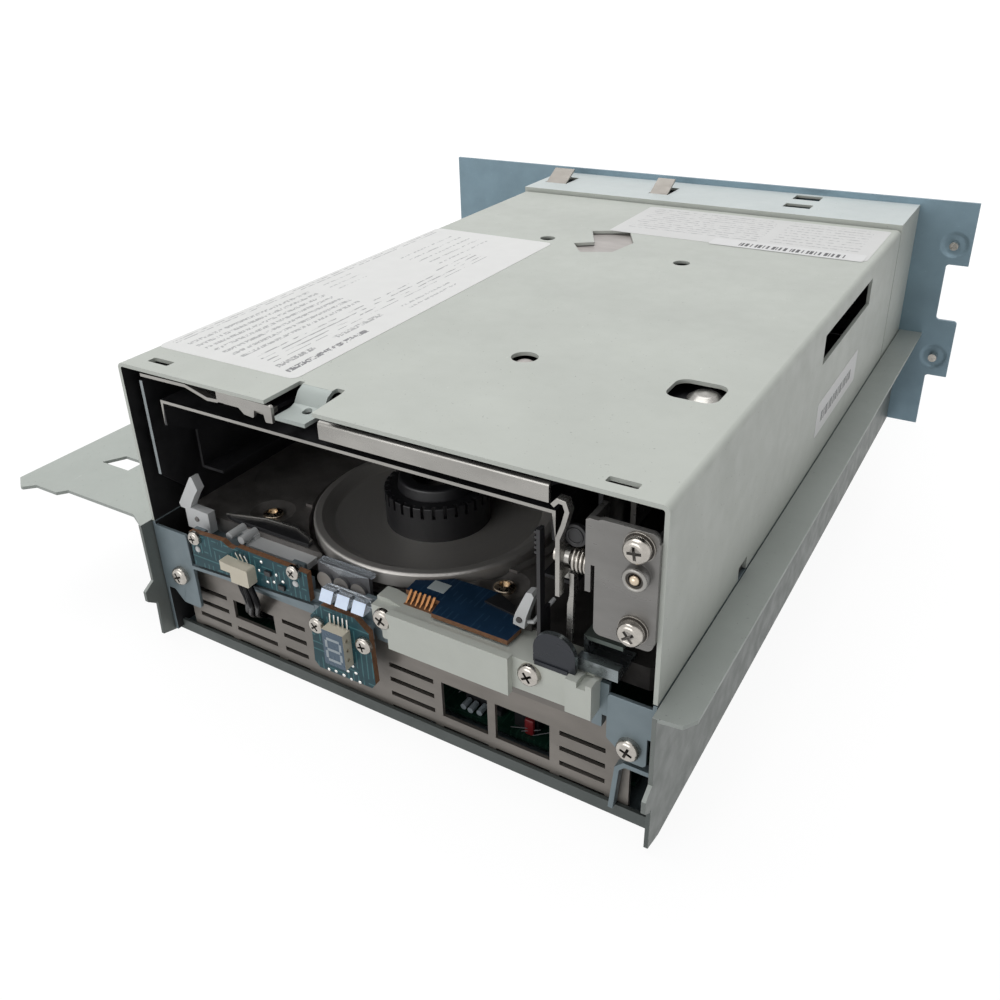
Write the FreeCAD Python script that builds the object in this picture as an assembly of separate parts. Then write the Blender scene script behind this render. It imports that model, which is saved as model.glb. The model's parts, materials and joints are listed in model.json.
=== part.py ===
"""Full-height cartridge tape drive in its library carrier, one STEP file per piece.

Frame: X to the right seen from the cartridge mouth, Y from the mouth to the rear plate, Z up.
The origin is on the underside of the carrier floor, midway between its walls, in the plane of the
drive's front edge. All sizes are in millimetres.
"""
import FreeCAD
import Part
import math
import os

os.makedirs("parts", exist_ok=True)

# ---------------------------------------------------------------- the drive and its carrier
CARTRIDGE_WIDTH = 105.4
LOADER_ROOM = 40.6
DRIVE_WIDTH = CARTRIDGE_WIDTH + LOADER_ROOM
DRIVE_HEIGHT = 82.5
DRIVE_DEPTH = 205.0
CASE_SHEET = 1.0
CASE_BEND = 1.6
TRAY_SHEET = 1.0
TRAY_GAP = 0.3
TRAY_WALL_HEIGHT = 37.5
TRAY_FRONT = 3.6
TRAY_FLOOR_FRONT = 2.0
TRAY_LIP_HEIGHT = 3.4
SHELF_REACH = 52.6
RUNNER_REACH = 7.1
BOX_DEPTH = 32.0
BOX_STEP = 1.6
PLATE_SHEET = 1.2
PLATE_LEFT = 126.0
PLATE_RIGHT = 92.6
PLATE_TOP_ABOVE = 3.8
PLATE_NOTCH = 7.4
PLATE_EAR_RADIUS = 1.2

TRAY_OUT = DRIVE_WIDTH / 2 + TRAY_GAP + TRAY_SHEET
CASE_OUT = DRIVE_WIDTH / 2
CASE_IN = CASE_OUT - CASE_SHEET
TOP = TRAY_SHEET + DRIVE_HEIGHT
BOX_TOP = TOP + BOX_STEP
BOX_FRONT = DRIVE_DEPTH + 1.0
PLATE_FRONT = BOX_FRONT + BOX_DEPTH
PLATE_TOP = TOP + PLATE_TOP_ABOVE
PAN_TOP = TRAY_SHEET + CASE_SHEET

SPRING_TONGUES = (((-69.8, -60.1), BOX_FRONT + 10.6), ((-23.1, -15.1), BOX_FRONT + 9.0))
TONGUE_OPENING = 13.0
TONGUE_REACH = 9.4
TONGUE_RISE = 4.0
BRIDGE_SPAN = (29.4, 39.2)
BRIDGE_SLOTS = ((BOX_FRONT + 9.8, BOX_FRONT + 15.4), (BOX_FRONT + 22.6, BOX_FRONT + 29.4))

# ---------------------------------------------------------------- captive screws of the plate
CAPTIVE_X = 86.8
CAPTIVE_LOW = 28.8
CAPTIVE_PITCH = 43.1
CAPTIVE_RADIUS = 1.5
CAPTIVE_FIT = 0.08
CAPTIVE_TIP = 2.2
CAPTIVE_NECK_RADIUS = 1.1
CAPTIVE_TRAVEL = 4.0
CAPTIVE_HEAD_RADIUS = 4.0
CAPTIVE_HEAD_LENGTH = 7.0
FERRULE_RADIUS = 3.2
FERRULE_LENGTH = 3.0
DISH_RADIUS = 5.2
DISH_DEPTH = 0.8

# ---------------------------------------------------------------- cut-outs of the cover
NOTCH_LEFT = -24.0
NOTCH_RIGHT = -9.8
NOTCH_DEPTH = 12.4
TONGUE_LEFT = -22.3
TONGUE_RIGHT = -13.4
TONGUE_DROP = 4.0
TONGUE_FRONT = 1.0
TONGUE_SCREW = (-17.1, 6.2)
TONGUE_SCREW_RADIUS = 1.2
FRONT_SLOT_LEFT = ((-CASE_OUT + 6.4, -CASE_OUT + 13.4), (4.0, 6.6))
FRONT_SLOT_RIGHT = ((CASE_OUT - 14.3, CASE_OUT - 7.6), (3.0, 5.2))
FRONT_SLOT_CORNER = 0.4
POST_HOLE = (15.5, 49.2)
POST_HOLE_RADIUS = 3.4
SIGHT_HOLES = ((-30.4, 146.3), (20.8, 138.6))
SIGHT_HOLE_RADIUS = 2.6
STEP_CUT = ((-19.6, 144.6), (-13.9, 148.5), (-20.7, 161.1), (-9.2, 167.0), (-1.7, 153.1),
            (-3.6, 140.5), (-13.0, 136.0))
SIDE_WINDOW = ((109.5, 165.2), (70.0, 78.4))
SIDE_FOOT_NOTCH = ((48.5, 54.5), 3.6)

# ---------------------------------------------------------------- front ears, grille and rails
EAR_Y = 0.0
EAR_SHEET = 1.0
LEFT_EAR_END = -CASE_OUT + 13.1
LEFT_EAR_TOP = 36.2
RIGHT_EAR = (CASE_OUT - 11.0, CASE_OUT)
RIGHT_EAR_TOP = 35.8
RIGHT_EAR_BOTTOM = 19.5
EAR_STEP = 1.7
EAR_STEP_TOP = 27.5
GRILLE_Y = 3.2
GRILLE_SHEET = 1.0
GRILLE_SPAN = (-CASE_OUT + 5.6, CASE_OUT - 6.5)
GRILLE_TOP = 28.6
SLOT_TOP = 17.2
SLOT_PITCH = 4.5
SLOT_HEIGHT = 1.35
SLOT_COLUMNS = ((GRILLE_SPAN[0] + 2.9, -52.8), (-32.8, -24.9), (2.3, 15.4), (49.4, GRILLE_SPAN[1] - 5.8))
WINDOWS = (((-50.4, -35.7), (11.1, 17.0)), ((17.7, 30.5), (6.9, 17.4)), ((32.6, 46.9), (6.9, 17.4)))
WINDOW_SLOTS = (2, 1, 1)
HOOK = ((CASE_OUT - 1.1, 17.5), (CASE_OUT - 6.8, 17.5), (CASE_OUT - 8.4, 15.9), (CASE_OUT - 9.6, 3.6))
EAR_SCREWS = ((-CASE_OUT + 7.9, 22.3), (CASE_OUT - 5.6, 23.6))

# ---------------------------------------------------------------- boards
BOARD_SHEET = 1.6
MAIN_BOARD_Z = 4.0
MAIN_BOARD = ((-CASE_IN + 6.0, CASE_IN - 6.0), (8.0, DRIVE_DEPTH - 13.0))
STANDOFF_RADIUS = 3.0
SENSOR_BOARD_Y = -0.6
SENSOR_BOARD = ((-58.0, 38.8), (-45.8, 39.5), (-44.0, 38.4), (-42.2, 38.2), (-40.8, 39.3),
                (-17.6, 38.9), (-17.6, 30.6), (-58.0, 28.3))
SENSOR_SCREWS = ((-55.7, 37.6), (-21.6, 38.3))
SENSOR_SCREW_SCALE = 0.72
CONNECTOR_X = (-44.6, -35.2)
CONNECTOR_BODY_LEFT = -41.4
CONNECTOR_Z = (30.2, 35.4)
CONNECTOR_EAR_Z = 33.0
CONNECTOR_DEPTH = 3.0
CABLE_RADIUS = 0.8
CABLE_PITCH = 1.72
CABLE_RUN = ((-38.35, -2.05, 32.5), (-38.3, -2.1, 29.2), (-35.4, -3.0, 25.6), (-41.4, 1.5, 16.4),
             (-42.6, 10.0, 12.0))
DISPLAY_BOARD_Y = -2.4
DISPLAY_BOARD = ((-12.6, 32.6), (-2.3, 32.6), (1.7, 29.4), (2.2, 14.3), (1.0, 12.6), (-15.5, 12.4),
                 (-17.0, 14.0), (-16.4, 28.3))
DISPLAY_SCREWS = ((-14.1, 26.5), (0.2, 25.8))
DISPLAY_SCREW_SCALE = 0.82
DIGIT_X = (-10.5, -4.1)
DIGIT_Z = (18.0, 28.4)
DIGIT_DEPTH = 3.0
DIGIT_DOT_RADIUS = 0.5
PIPE_X = -11.9
PIPE_WIDTH = 3.7
PIPE_PITCH = 4.85
PIPE_Z = (35.0, 37.7)
PIPE_Y = -3.4
PIPE_LEAN = 1.5
DISC_X = -14.6
DISC_PITCH = 5.2
DISC_RADIUS = 2.3

# ---------------------------------------------------------------- cream bracket and contact board
BRACKET_X = (3.1, RIGHT_EAR[0] - 2.0)
BRACKET_Y = -2.0
BRACKET_LOW = 29.8
BRACKET_TOP = 39.0
BRACKET_FACE_X = (8.7, 40.7)
BRACKET_FACE_Y = -4.0
BRACKET_END_X = (BRACKET_X[1] - 6.0, BRACKET_X[1])
BRACKET_SCREWS = ((6.7, 35.9), (45.1, 35.6))
BRACKET_SCREW_SCALE = 0.95
CONTACT_BOARD_SHEET = 1.2
CONTACT_BOARD = ((8.4, 4.6), (8.0, 12.0), (10.0, 13.6), (28.5, 14.0), (38.9, 5.2), (38.4, 0.0),
                 (18.6, 0.0), (17.9, 4.6))

# ---------------------------------------------------------------- deck, reels and tape path
DECK_Z = (33.0, 39.0)
DECK_FRONT = 8.0
DECK_BACK = DRIVE_DEPTH - 5.0
REEL = (-6.0, 39.5)
DISH_RIM_RADIUS = 33.0
DISH_RIM_Z = 41.2
DISH_GAP = 1.5
CLUTCH_RADIUS = 14.0
CLUTCH_TOP = 47.5
CLUTCH_TEETH = 30
CLUTCH_GAP = 0.9
HUB_RADIUS = 10.0
HUB_TOP = 50.6
SHAFT_RADIUS = 3.0
SHAFT_FIT = 0.05
DECK_SCREWS = ((-45.0, 17.4), (26.6, 18.8), (-44.0, 66.0), (33.0, 70.0))
DECK_SCREW_RADIUS = 2.7
TAKE_UP = (4.0, DRIVE_DEPTH - 50.0)
TAPE_Z = 56.2
TAPE_WIDTH = 12.65
FLANGE_RADIUS = 40.0
FLANGE_SHEET = 1.0
TAKE_UP_HUB_RADIUS = 18.0
ROLLERS = ((-CASE_OUT + 27.0, 97.0), (-CASE_OUT + 15.5, 103.0), (-CASE_OUT + 15.5, 129.0),
           (-CASE_OUT + 27.0, 136.0))
ROLLER_RADIUS = 5.4
ROLLER_FLANGE = 6.1
ROLLER_POST_RADIUS = 1.5
ROLLER_FIT = 0.05
HEAD_Y = 116.0
HEAD_ROD_PITCH = 7.0
HEAD_ROD_RADIUS = 1.25
HEAD_FIT = 0.05
HEAD_TRAVEL = 2.5
YOKE_X = (-CASE_IN + 1.4, -CASE_IN + 11.0)
YOKE_Z = (39.0, 69.4)
HEAD_FACE_X = YOKE_X[1] + 4.4
THREADER = (-CASE_OUT + 22.1, 143.9)
THREADER_REACH = 56.0
THREADER_Z = 68.6
THREADER_SHEET = 2.0
THREADER_WIDTH = 7.0

# ---------------------------------------------------------------- mouth, cage and loader
MOUTH_X = -7.5
CARTRIDGE_HEIGHT = 21.5
CAGE_SHEET = 0.8
CAGE_PLAY = 2.4
CAGE_FLOOR = 50.5
CAGE_Y = (3.0, 70.0)
CAGE_RAIL = 7.0
CAGE_LEFT = MOUTH_X - CARTRIDGE_WIDTH / 2 - CAGE_PLAY
CAGE_RIGHT = MOUTH_X + CARTRIDGE_WIDTH / 2 + CAGE_PLAY
FRAME_Z = 78.7
FRAME_SHEET = 1.0
FRAME_Y = (4.6, DRIVE_DEPTH - 31.0)
LIP_X = (-11.6, CAGE_RIGHT - 0.7)
LIP_Z = (75.3, 79.7)
LIP_Y = 3.0
SIDE_PLATE_SHEET = 1.0
SIDE_PLATE_LEFT = CAGE_LEFT - CAGE_SHEET - 4.2
SIDE_PLATE_RIGHT = CAGE_RIGHT + CAGE_SHEET + 5.0
SLIDER_X = SIDE_PLATE_RIGHT + SIDE_PLATE_SHEET + 1.0
SLIDER_SHEET = 1.2
SLIDER_TOP = 72.0
SLIDER_Y = (24.0, 96.0)
SLIDER_TRAVEL = 20.0
SLIDER_PINS = (50.0, 80.0)
SLIDER_PIN_RADIUS = 1.6
SLIDER_SLOT_Z = 66.5
RACK_MODULE = 0.8
GEAR_TEETH = 24
PINION_TEETH = 12
GEAR_WIDTH = 4.0
GEAR_Y = 88.0
GEAR_Z = 50.2
GEAR_BORE = 2.0
GUIDE_BAR_X = (CAGE_RIGHT - 2.0, CAGE_RIGHT - 1.2)
GUIDE_BAR_Z = (50.0, 70.4)
LATCH_X = CAGE_RIGHT + CAGE_SHEET + 1.6
LATCH_SHEET = 1.0
LATCH_SLEEVE_RADIUS = 1.9
LATCH_SLEEVE_END = LATCH_X + 2.2
LATCH_CHEEK_Z = (55.0, 61.0)
LATCH_TAIL_Z = 43.4
PIVOT_Y = 3.2
PIVOT_Z = 64.5
PIVOT_RADIUS = 1.2
PIVOT_FIT = 0.05
SPRING_RADIUS = 2.6
SPRING_WIRE = 0.36
SPRING_TURNS = 4
SIDE_BRACKET_X = (SIDE_PLATE_RIGHT + 5.6, CASE_IN - 0.3)
SIDE_BRACKET_Z = (51.0, 77.7)
SIDE_BRACKET_Y = -1.2
SIDE_BRACKET_SHEET = 1.4
SIDE_BRACKET_SCREWS = ((CASE_OUT - 4.9, 74.3), (CASE_OUT - 5.4, 55.2))
STUD = (CASE_OUT - 5.0, 67.9)
STUD_RADIUS = 2.6
SENSE_LEFT = (-60.0, 39.2)
SENSE_LEFT_FINGER = ((-60.0, 51.9), (-66.0, 42.6), (-65.6, 41.5), (-64.0, 41.4), (-64.0, 35.8),
                     (-55.5, 35.8), (-55.5, 42.0), (-61.8, 42.2), (-61.3, 43.3), (-59.5, 46.3),
                     (-57.8, 48.6), (-59.2, 52.1))
SENSE_RIGHT = (38.9, 43.0)
SENSE_RIGHT_FINGER = ((40.7, 50.8), (39.3, 47.7), (38.0, 44.7), (37.4, 42.8), (37.3, 41.4),
                      (40.1, 40.95), (40.5, 43.9), (42.5, 50.1), (42.0, 51.0))
SENSE_Y = (4.4, 6.8)
SENSE_PIN_RADIUS = 0.7
SENSE_FIT = 0.05
RAIL_X = (SIDE_PLATE_RIGHT + 1.2, SIDE_PLATE_RIGHT + 10.6)
RAIL_Y = (0.6, 3.0)
TAB_X = (SIDE_PLATE_RIGHT - 7.8, SIDE_PLATE_RIGHT + 2.0)
TAB_TOP = 47.4
TAB_CORNER = 4.7

DOME = (SIDE_PLATE_RIGHT + 6.8, 53.0)
DOME_RADIUS = 4.3
DOME_HOLE = ((DOME[0] - 7.0, DOME[0] + 5.2), (DOME[1] - 9.0, DOME[1] + 1.8))
DOME_HOLE_CORNER = 3.0

# ---------------------------------------------------------------- small screws
SCREW_HEAD_RADIUS = 2.7
SCREW_HEAD_HEIGHT = 1.9
SCREW_SHANK_RADIUS = 1.45
WASHER_RADIUS = 2.9
WASHER_HEIGHT = 0.7

# ---------------------------------------------------------------- rear box contents
FAN_SIZE = 40.0
FAN_DEPTH = 15.0
FAN_X = 34.0
FAN_Z = 47.0
FAN_BORE = 18.6
FAN_HUB_RADIUS = 9.0
FAN_BLADES = 7
PORT_X = -28.0
PORT_PITCH = 24.0
PORT_WIDTH = 19.0
PORT_HEIGHT = 8.0
PORT_WALL = 0.8
PORT_Z = 20.0
PORT_DEPTH = 18.0
CARD_Z = 13.0

UP = FreeCAD.Vector(0, 0, 1)
RIGHT = FreeCAD.Vector(1, 0, 0)
BACK = FreeCAD.Vector(0, 1, 0)
FORWARD = FreeCAD.Vector(0, -1, 0)


# ---------------------------------------------------------------- helpers
def at(x, y, z):
    return FreeCAD.Vector(x, y, z)


def block(x, y, z):
    """A box between two limits on each axis."""
    return Part.makeBox(x[1] - x[0], y[1] - y[0], z[1] - z[0], at(x[0], y[0], z[0]))


def rod(radius, start, length, axis=UP):
    return Part.makeCylinder(radius, length, start, axis)


def ring(outer, inner, start, length, axis=UP):
    return rod(outer, start, length, axis).cut(rod(inner, start - axis * 0.5, length + 1.0, axis))


def rounded_wire(points, place):
    """A closed outline; a point with a third value has its corner rounded to that radius."""
    flat = [(FreeCAD.Vector(p[0], p[1], 0), p[2] if len(p) > 2 else 0.0) for p in points]
    starts = []
    for index, (corner, radius) in enumerate(flat):
        if radius == 0:
            starts.append((corner, corner, corner))
            continue
        before = (flat[index - 1][0] - corner).normalize()
        after = (flat[(index + 1) % len(flat)][0] - corner).normalize()
        half = before.getAngle(after) / 2
        reach = radius / math.tan(half)
        middle = (before + after).normalize()
        centre = corner + middle * (radius / math.sin(half))
        starts.append((corner + before * reach, centre - middle * radius, corner + after * reach))
    edges = []
    for index, (enter, top, leave) in enumerate(starts):
        if (enter - leave).Length > 1e-6:
            edges.append(Part.Arc(place(enter), place(top), place(leave)).toShape())
        following = starts[(index + 1) % len(starts)][0]
        if (following - leave).Length > 1e-6:
            edges.append(Part.LineSegment(place(leave), place(following)).toShape())
    return Part.Wire(edges)


def slab(points, plane, span):
    """An outline in one plane, made solid between two limits on the third axis."""
    low, high = span
    place = {"xy": lambda p: at(p.x, p.y, low),
             "xz": lambda p: at(p.x, low, p.y),
             "yz": lambda p: at(low, p.x, p.y)}[plane]
    along = {"xy": UP, "xz": BACK, "yz": RIGHT}[plane]
    return Part.Face(rounded_wire(points, place)).extrude(along * (high - low))


def rectangle(first, second, corner=0.0):
    (a, b), (c, d) = first, second
    return [(a, c, corner), (b, c, corner), (b, d, corner), (a, d, corner)]


def turned(profile, centre):
    """A profile of (radius, height) pairs, turned about a vertical axis."""
    wire = rounded_wire(profile, lambda p: at(centre[0] + p.x, centre[1], p.y))
    return Part.Face(wire).revolve(at(centre[0], centre[1], 0), UP, 360)


def fuse(shapes):
    return shapes[0].multiFuse(shapes[1:]).removeSplitter() if len(shapes) > 1 else shapes[0]


def cut(shape, tools):
    return shape.cut(Part.makeCompound(tools)) if tools else shape


def group(shapes):
    return Part.makeCompound(shapes)


def strip(points, sheet):
    """The outline of a bent strip of even thickness that follows a line of points."""
    line = [FreeCAD.Vector(p[0], p[1], 0) for p in points]
    sides = ([], [])
    for index, point in enumerate(line):
        before = (point - line[index - 1]).normalize() if index else None
        after = (line[index + 1] - point).normalize() if index < len(line) - 1 else None
        direction = ((before or after) + (after or before)).normalize()
        normal = FreeCAD.Vector(-direction.y, direction.x, 0)
        lean = normal.dot(FreeCAD.Vector(-(before or after).y, (before or after).x, 0))
        step = normal * (sheet / 2 / lean)
        sides[0].append((point.x + step.x, point.y + step.y))
        sides[1].append((point.x - step.x, point.y - step.y))
    return sides[0] + sides[1][::-1]


def toothed(teeth, module, span, centre, axis, bore):
    """A spur gear with straight-sided teeth, on an axis along X or Z."""
    pitch = teeth * module / 2
    root = pitch - 1.15 * module
    tip = pitch + 0.9 * module
    points = []
    for tooth in range(teeth):
        for turn, radius in ((-0.30, root), (-0.14, tip), (0.14, tip), (0.30, root)):
            angle = 2 * math.pi * (tooth + turn) / teeth
            points.append((centre[0] + radius * math.cos(angle), centre[1] + radius * math.sin(angle)))
    body = slab(points, axis, span)
    start = at(span[0] - 1, *centre) if axis == "yz" else at(*centre, span[0] - 1)
    return body.cut(rod(bore, start, span[1] - span[0] + 2, RIGHT if axis == "yz" else UP))


def pan_screw(start, axis, length, washer=0.0, head=1.0):
    """A pan-head screw; start is the seat under its head, and axis points from the seat to the head."""
    height = SCREW_HEAD_HEIGHT * head
    crown = rod(SCREW_HEAD_RADIUS * head, start + axis * washer, height, axis)
    rim = max(crown.Edges, key=lambda edge: (edge.CenterOfMass - start).dot(axis))
    crown = crown.makeFillet(height * 0.45, [rim])
    shank = rod(SCREW_SHANK_RADIUS * head, start - axis * length, length + washer + 0.2, axis)
    return fuse([crown, shank])


def export(name, shape):
    shape.exportStep("parts/" + name + ".step")


# ---------------------------------------------------------------- carrier
def carrier_tray():
    floor = block((-TRAY_OUT, TRAY_OUT), (TRAY_FLOOR_FRONT, PLATE_FRONT), (0, TRAY_SHEET))
    lip = block((-CASE_IN + 0.2, CASE_IN - 0.2), (TRAY_FLOOR_FRONT, TRAY_FLOOR_FRONT + TRAY_SHEET),
                (0, TRAY_LIP_HEIGHT))
    side = [(-TRAY_FRONT, TRAY_WALL_HEIGHT), (-TRAY_FRONT, 19.6), (-TRAY_FRONT - 3.2, 17.6, 0.6),
            (-TRAY_FRONT - 3.2, 14.4, 0.6), (-TRAY_FRONT - 0.6, 12.4), (-TRAY_FRONT, 13.0),
            (-TRAY_FRONT - 0.4, 1.6), (TRAY_FLOOR_FRONT, 0), (PLATE_FRONT, 0),
            (PLATE_FRONT, TRAY_WALL_HEIGHT)]
    walls = [slab(side, "yz", (-TRAY_OUT, -TRAY_OUT + TRAY_SHEET)),
             slab(side, "yz", (TRAY_OUT - TRAY_SHEET, TRAY_OUT))]
    flange_z = (TRAY_WALL_HEIGHT - TRAY_SHEET, TRAY_WALL_HEIGHT)
    edge = TRAY_OUT + RUNNER_REACH
    runner = slab([(TRAY_OUT - TRAY_SHEET, -TRAY_FRONT), (edge - 2.0, -2.9), (edge, 0.2),
                   (edge, PLATE_FRONT), (TRAY_OUT - TRAY_SHEET, PLATE_FRONT)], "xy", flange_z)
    shelf_edge = -TRAY_OUT - SHELF_REACH
    shelf = slab([(-TRAY_OUT + TRAY_SHEET, -TRAY_FRONT), (-80.0, -0.5), (-107.5, -0.5), (-109.5, -3.0),
                  (-118.5, -3.0), (-121.5, -6.0, 1.0), (shelf_edge, -2.3), (shelf_edge, PLATE_FRONT),
                  (-TRAY_OUT + TRAY_SHEET, PLATE_FRONT)], "xy", flange_z)
    slot = slab([(-113.0, 16.0), (-101.5, 16.0), (-101.5, 22.0), (-109.5, 22.0)], "xy", (0, TOP))
    return fuse([floor, lip, runner, shelf] + walls + card_posts()).cut(slot)


def rear_plate():
    inner = PLATE_RIGHT - PLATE_NOTCH
    ear = PLATE_EAR_RADIUS
    outline = [(-PLATE_LEFT, 0.3), (-PLATE_LEFT, PLATE_TOP), (PLATE_RIGHT, PLATE_TOP),
               (PLATE_RIGHT, CAPTIVE_LOW + 35.8), (inner, CAPTIVE_LOW + 35.8, ear),
               (inner, CAPTIVE_LOW + 14.6, ear), (PLATE_RIGHT, CAPTIVE_LOW + 14.6, ear),
               (PLATE_RIGHT, CAPTIVE_LOW - 7.6), (inner, CAPTIVE_LOW - 7.6, ear), (inner, 0.3)]
    plate = slab(outline, "xz", (PLATE_FRONT, PLATE_FRONT + PLATE_SHEET))
    bosses = []
    holes = []
    for z in captive_heights():
        start = at(CAPTIVE_X, PLATE_FRONT + PLATE_SHEET, z)
        bosses.append(Part.makeCone(DISH_RADIUS, FERRULE_RADIUS + 0.6, DISH_DEPTH, start, BACK))
        bosses.append(rod(FERRULE_RADIUS, start, FERRULE_LENGTH, BACK))
        holes.append(Part.makeCone(DISH_RADIUS, FERRULE_RADIUS, DISH_DEPTH,
                                   at(CAPTIVE_X, PLATE_FRONT, z), BACK))
        holes.append(rod(CAPTIVE_NECK_RADIUS + CAPTIVE_FIT, start - BACK * 5, 15, BACK))
    for index in range(2):
        centre = PORT_X + index * PORT_PITCH
        holes.append(block((centre - PORT_WIDTH / 2 - 0.3, centre + PORT_WIDTH / 2 + 0.3),
                           (PLATE_FRONT - 1, PLATE_FRONT + 3),
                           (PORT_Z - 0.3, PORT_Z + PORT_HEIGHT + 0.3)))
    for row in range(-3, 4):
        half = math.sqrt(FAN_BORE ** 2 - (row * 4.8) ** 2)
        holes.append(slab(rectangle((FAN_X - half, FAN_X + half),
                                    (FAN_Z + row * 4.8 - 1.4, FAN_Z + row * 4.8 + 1.4), 1.39), "xz",
                          (PLATE_FRONT - 1, PLATE_FRONT + 3)))
    return fuse([plate] + bosses).cut(group(holes))


def captive_heights():
    return (CAPTIVE_LOW, CAPTIVE_LOW + CAPTIVE_PITCH)


def captive_screw(z):
    """A threaded tip on a thinner neck, which keeps the screw in its ferrule when it is let go."""
    head_start = PLATE_FRONT + PLATE_SHEET + FERRULE_LENGTH + CAPTIVE_TRAVEL + 0.4
    tip = PLATE_FRONT - CAPTIVE_TIP
    thread = rod(CAPTIVE_RADIUS, at(CAPTIVE_X, tip, z), CAPTIVE_TIP - 0.1, BACK)
    neck = rod(CAPTIVE_NECK_RADIUS, at(CAPTIVE_X, tip, z), head_start - tip, BACK)
    head = rod(CAPTIVE_HEAD_RADIUS, at(CAPTIVE_X, head_start, z), CAPTIVE_HEAD_LENGTH, BACK)
    slot = block((CAPTIVE_X - 5, CAPTIVE_X + 5),
                 (head_start + CAPTIVE_HEAD_LENGTH - 1.2, head_start + CAPTIVE_HEAD_LENGTH + 1),
                 (z - 0.5, z + 0.5))
    return fuse([thread, neck, head]).cut(slot)


def rear_box():
    side = [(BOX_FRONT, TRAY_SHEET), (PLATE_FRONT, TRAY_SHEET), (PLATE_FRONT, BOX_TOP),
            (BOX_FRONT, BOX_TOP)]
    walls = [slab(side, "yz", (-CASE_OUT, -CASE_IN)), slab(side, "yz", (CASE_IN, CASE_OUT))]
    roof = block((-CASE_OUT, CASE_OUT), (BOX_FRONT, PLATE_FRONT), (BOX_TOP - CASE_SHEET, BOX_TOP))
    band = block((-CASE_OUT, CASE_OUT), (BOX_FRONT, BOX_FRONT + CASE_SHEET), (TOP - 6.0, BOX_TOP))
    through = (BOX_TOP - 2, BOX_TOP + 1)
    tools = [block(BRIDGE_SPAN, slot, through) for slot in BRIDGE_SLOTS]
    tongues = []
    for span, hinge in SPRING_TONGUES:
        tools.append(block(span, (hinge + 0.6, hinge + TONGUE_OPENING), through))
        line = [(hinge, BOX_TOP - CASE_SHEET / 2), (hinge + 1.0, BOX_TOP - CASE_SHEET / 2),
                (hinge + TONGUE_REACH, BOX_TOP + TONGUE_RISE)]
        tongues.append(slab(strip(line, 0.7), "yz", (span[0] + 0.4, span[1] - 0.4)))
    return fuse([fuse([roof, band] + walls).cut(group(tools))] + tongues)


def top_cover():
    side_low = TRAY_WALL_HEIGHT
    outer = [(-CASE_OUT, side_low), (-CASE_OUT, TOP, CASE_BEND), (CASE_OUT, TOP, CASE_BEND),
             (CASE_OUT, side_low), (CASE_IN, side_low), (CASE_IN, TOP - CASE_SHEET, 0.6),
             (-CASE_IN, TOP - CASE_SHEET, 0.6), (-CASE_IN, side_low)]
    shell = slab(outer, "xz", (0, DRIVE_DEPTH))
    through = (TOP - 3, TOP + 1)
    notch = slab([(NOTCH_LEFT, -1), (NOTCH_RIGHT, -1), (NOTCH_RIGHT - 0.8, NOTCH_DEPTH - 1.4),
                  (NOTCH_RIGHT - 1.2, NOTCH_DEPTH + 0.6, 0.5), (TONGUE_RIGHT, NOTCH_DEPTH + 0.6, 0.5),
                  (TONGUE_RIGHT, NOTCH_DEPTH - 1.1), (TONGUE_LEFT, NOTCH_DEPTH - 1.1),
                  (TONGUE_LEFT, NOTCH_DEPTH, 0.4), (NOTCH_LEFT, NOTCH_DEPTH, 0.4)], "xy", through)
    tools = [notch,
             slab(rectangle(*FRONT_SLOT_LEFT, FRONT_SLOT_CORNER), "xy", through),
             slab(rectangle(*FRONT_SLOT_RIGHT, FRONT_SLOT_CORNER), "xy", through),
             slab(rectangle(*DOME_HOLE, DOME_HOLE_CORNER), "xy", through),
             slab(STEP_CUT, "xy", through),
             rod(POST_HOLE_RADIUS, at(*POST_HOLE, through[0]), 4),
             slab(rectangle(*SIDE_WINDOW), "yz", (CASE_IN - 1, CASE_OUT + 1)),
             block((CASE_IN - 1, CASE_OUT + 1), SIDE_FOOT_NOTCH[0],
                   (side_low - 1, side_low + SIDE_FOOT_NOTCH[1]))]
    for x, y in SIGHT_HOLES:
        tools.append(rod(SIGHT_HOLE_RADIUS, at(x, y, through[0]), 4))
    low = TOP - TONGUE_DROP
    bend = NOTCH_DEPTH - 1.1
    tongue_line = [(TONGUE_FRONT, low - CASE_SHEET / 2), (bend - 5.0, low - CASE_SHEET / 2),
                   (bend - 3.2, low + 0.2), (bend - 1.6, TOP - 1.4), (bend + 0.2, TOP - CASE_SHEET / 2)]
    tongue = slab(strip(tongue_line, CASE_SHEET), "yz", (TONGUE_LEFT, TONGUE_RIGHT))
    hole = rod(TONGUE_SCREW_RADIUS, at(*TONGUE_SCREW, low - 3), 6)
    return fuse([shell.cut(group(tools)), tongue]).cut(hole)


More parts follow.
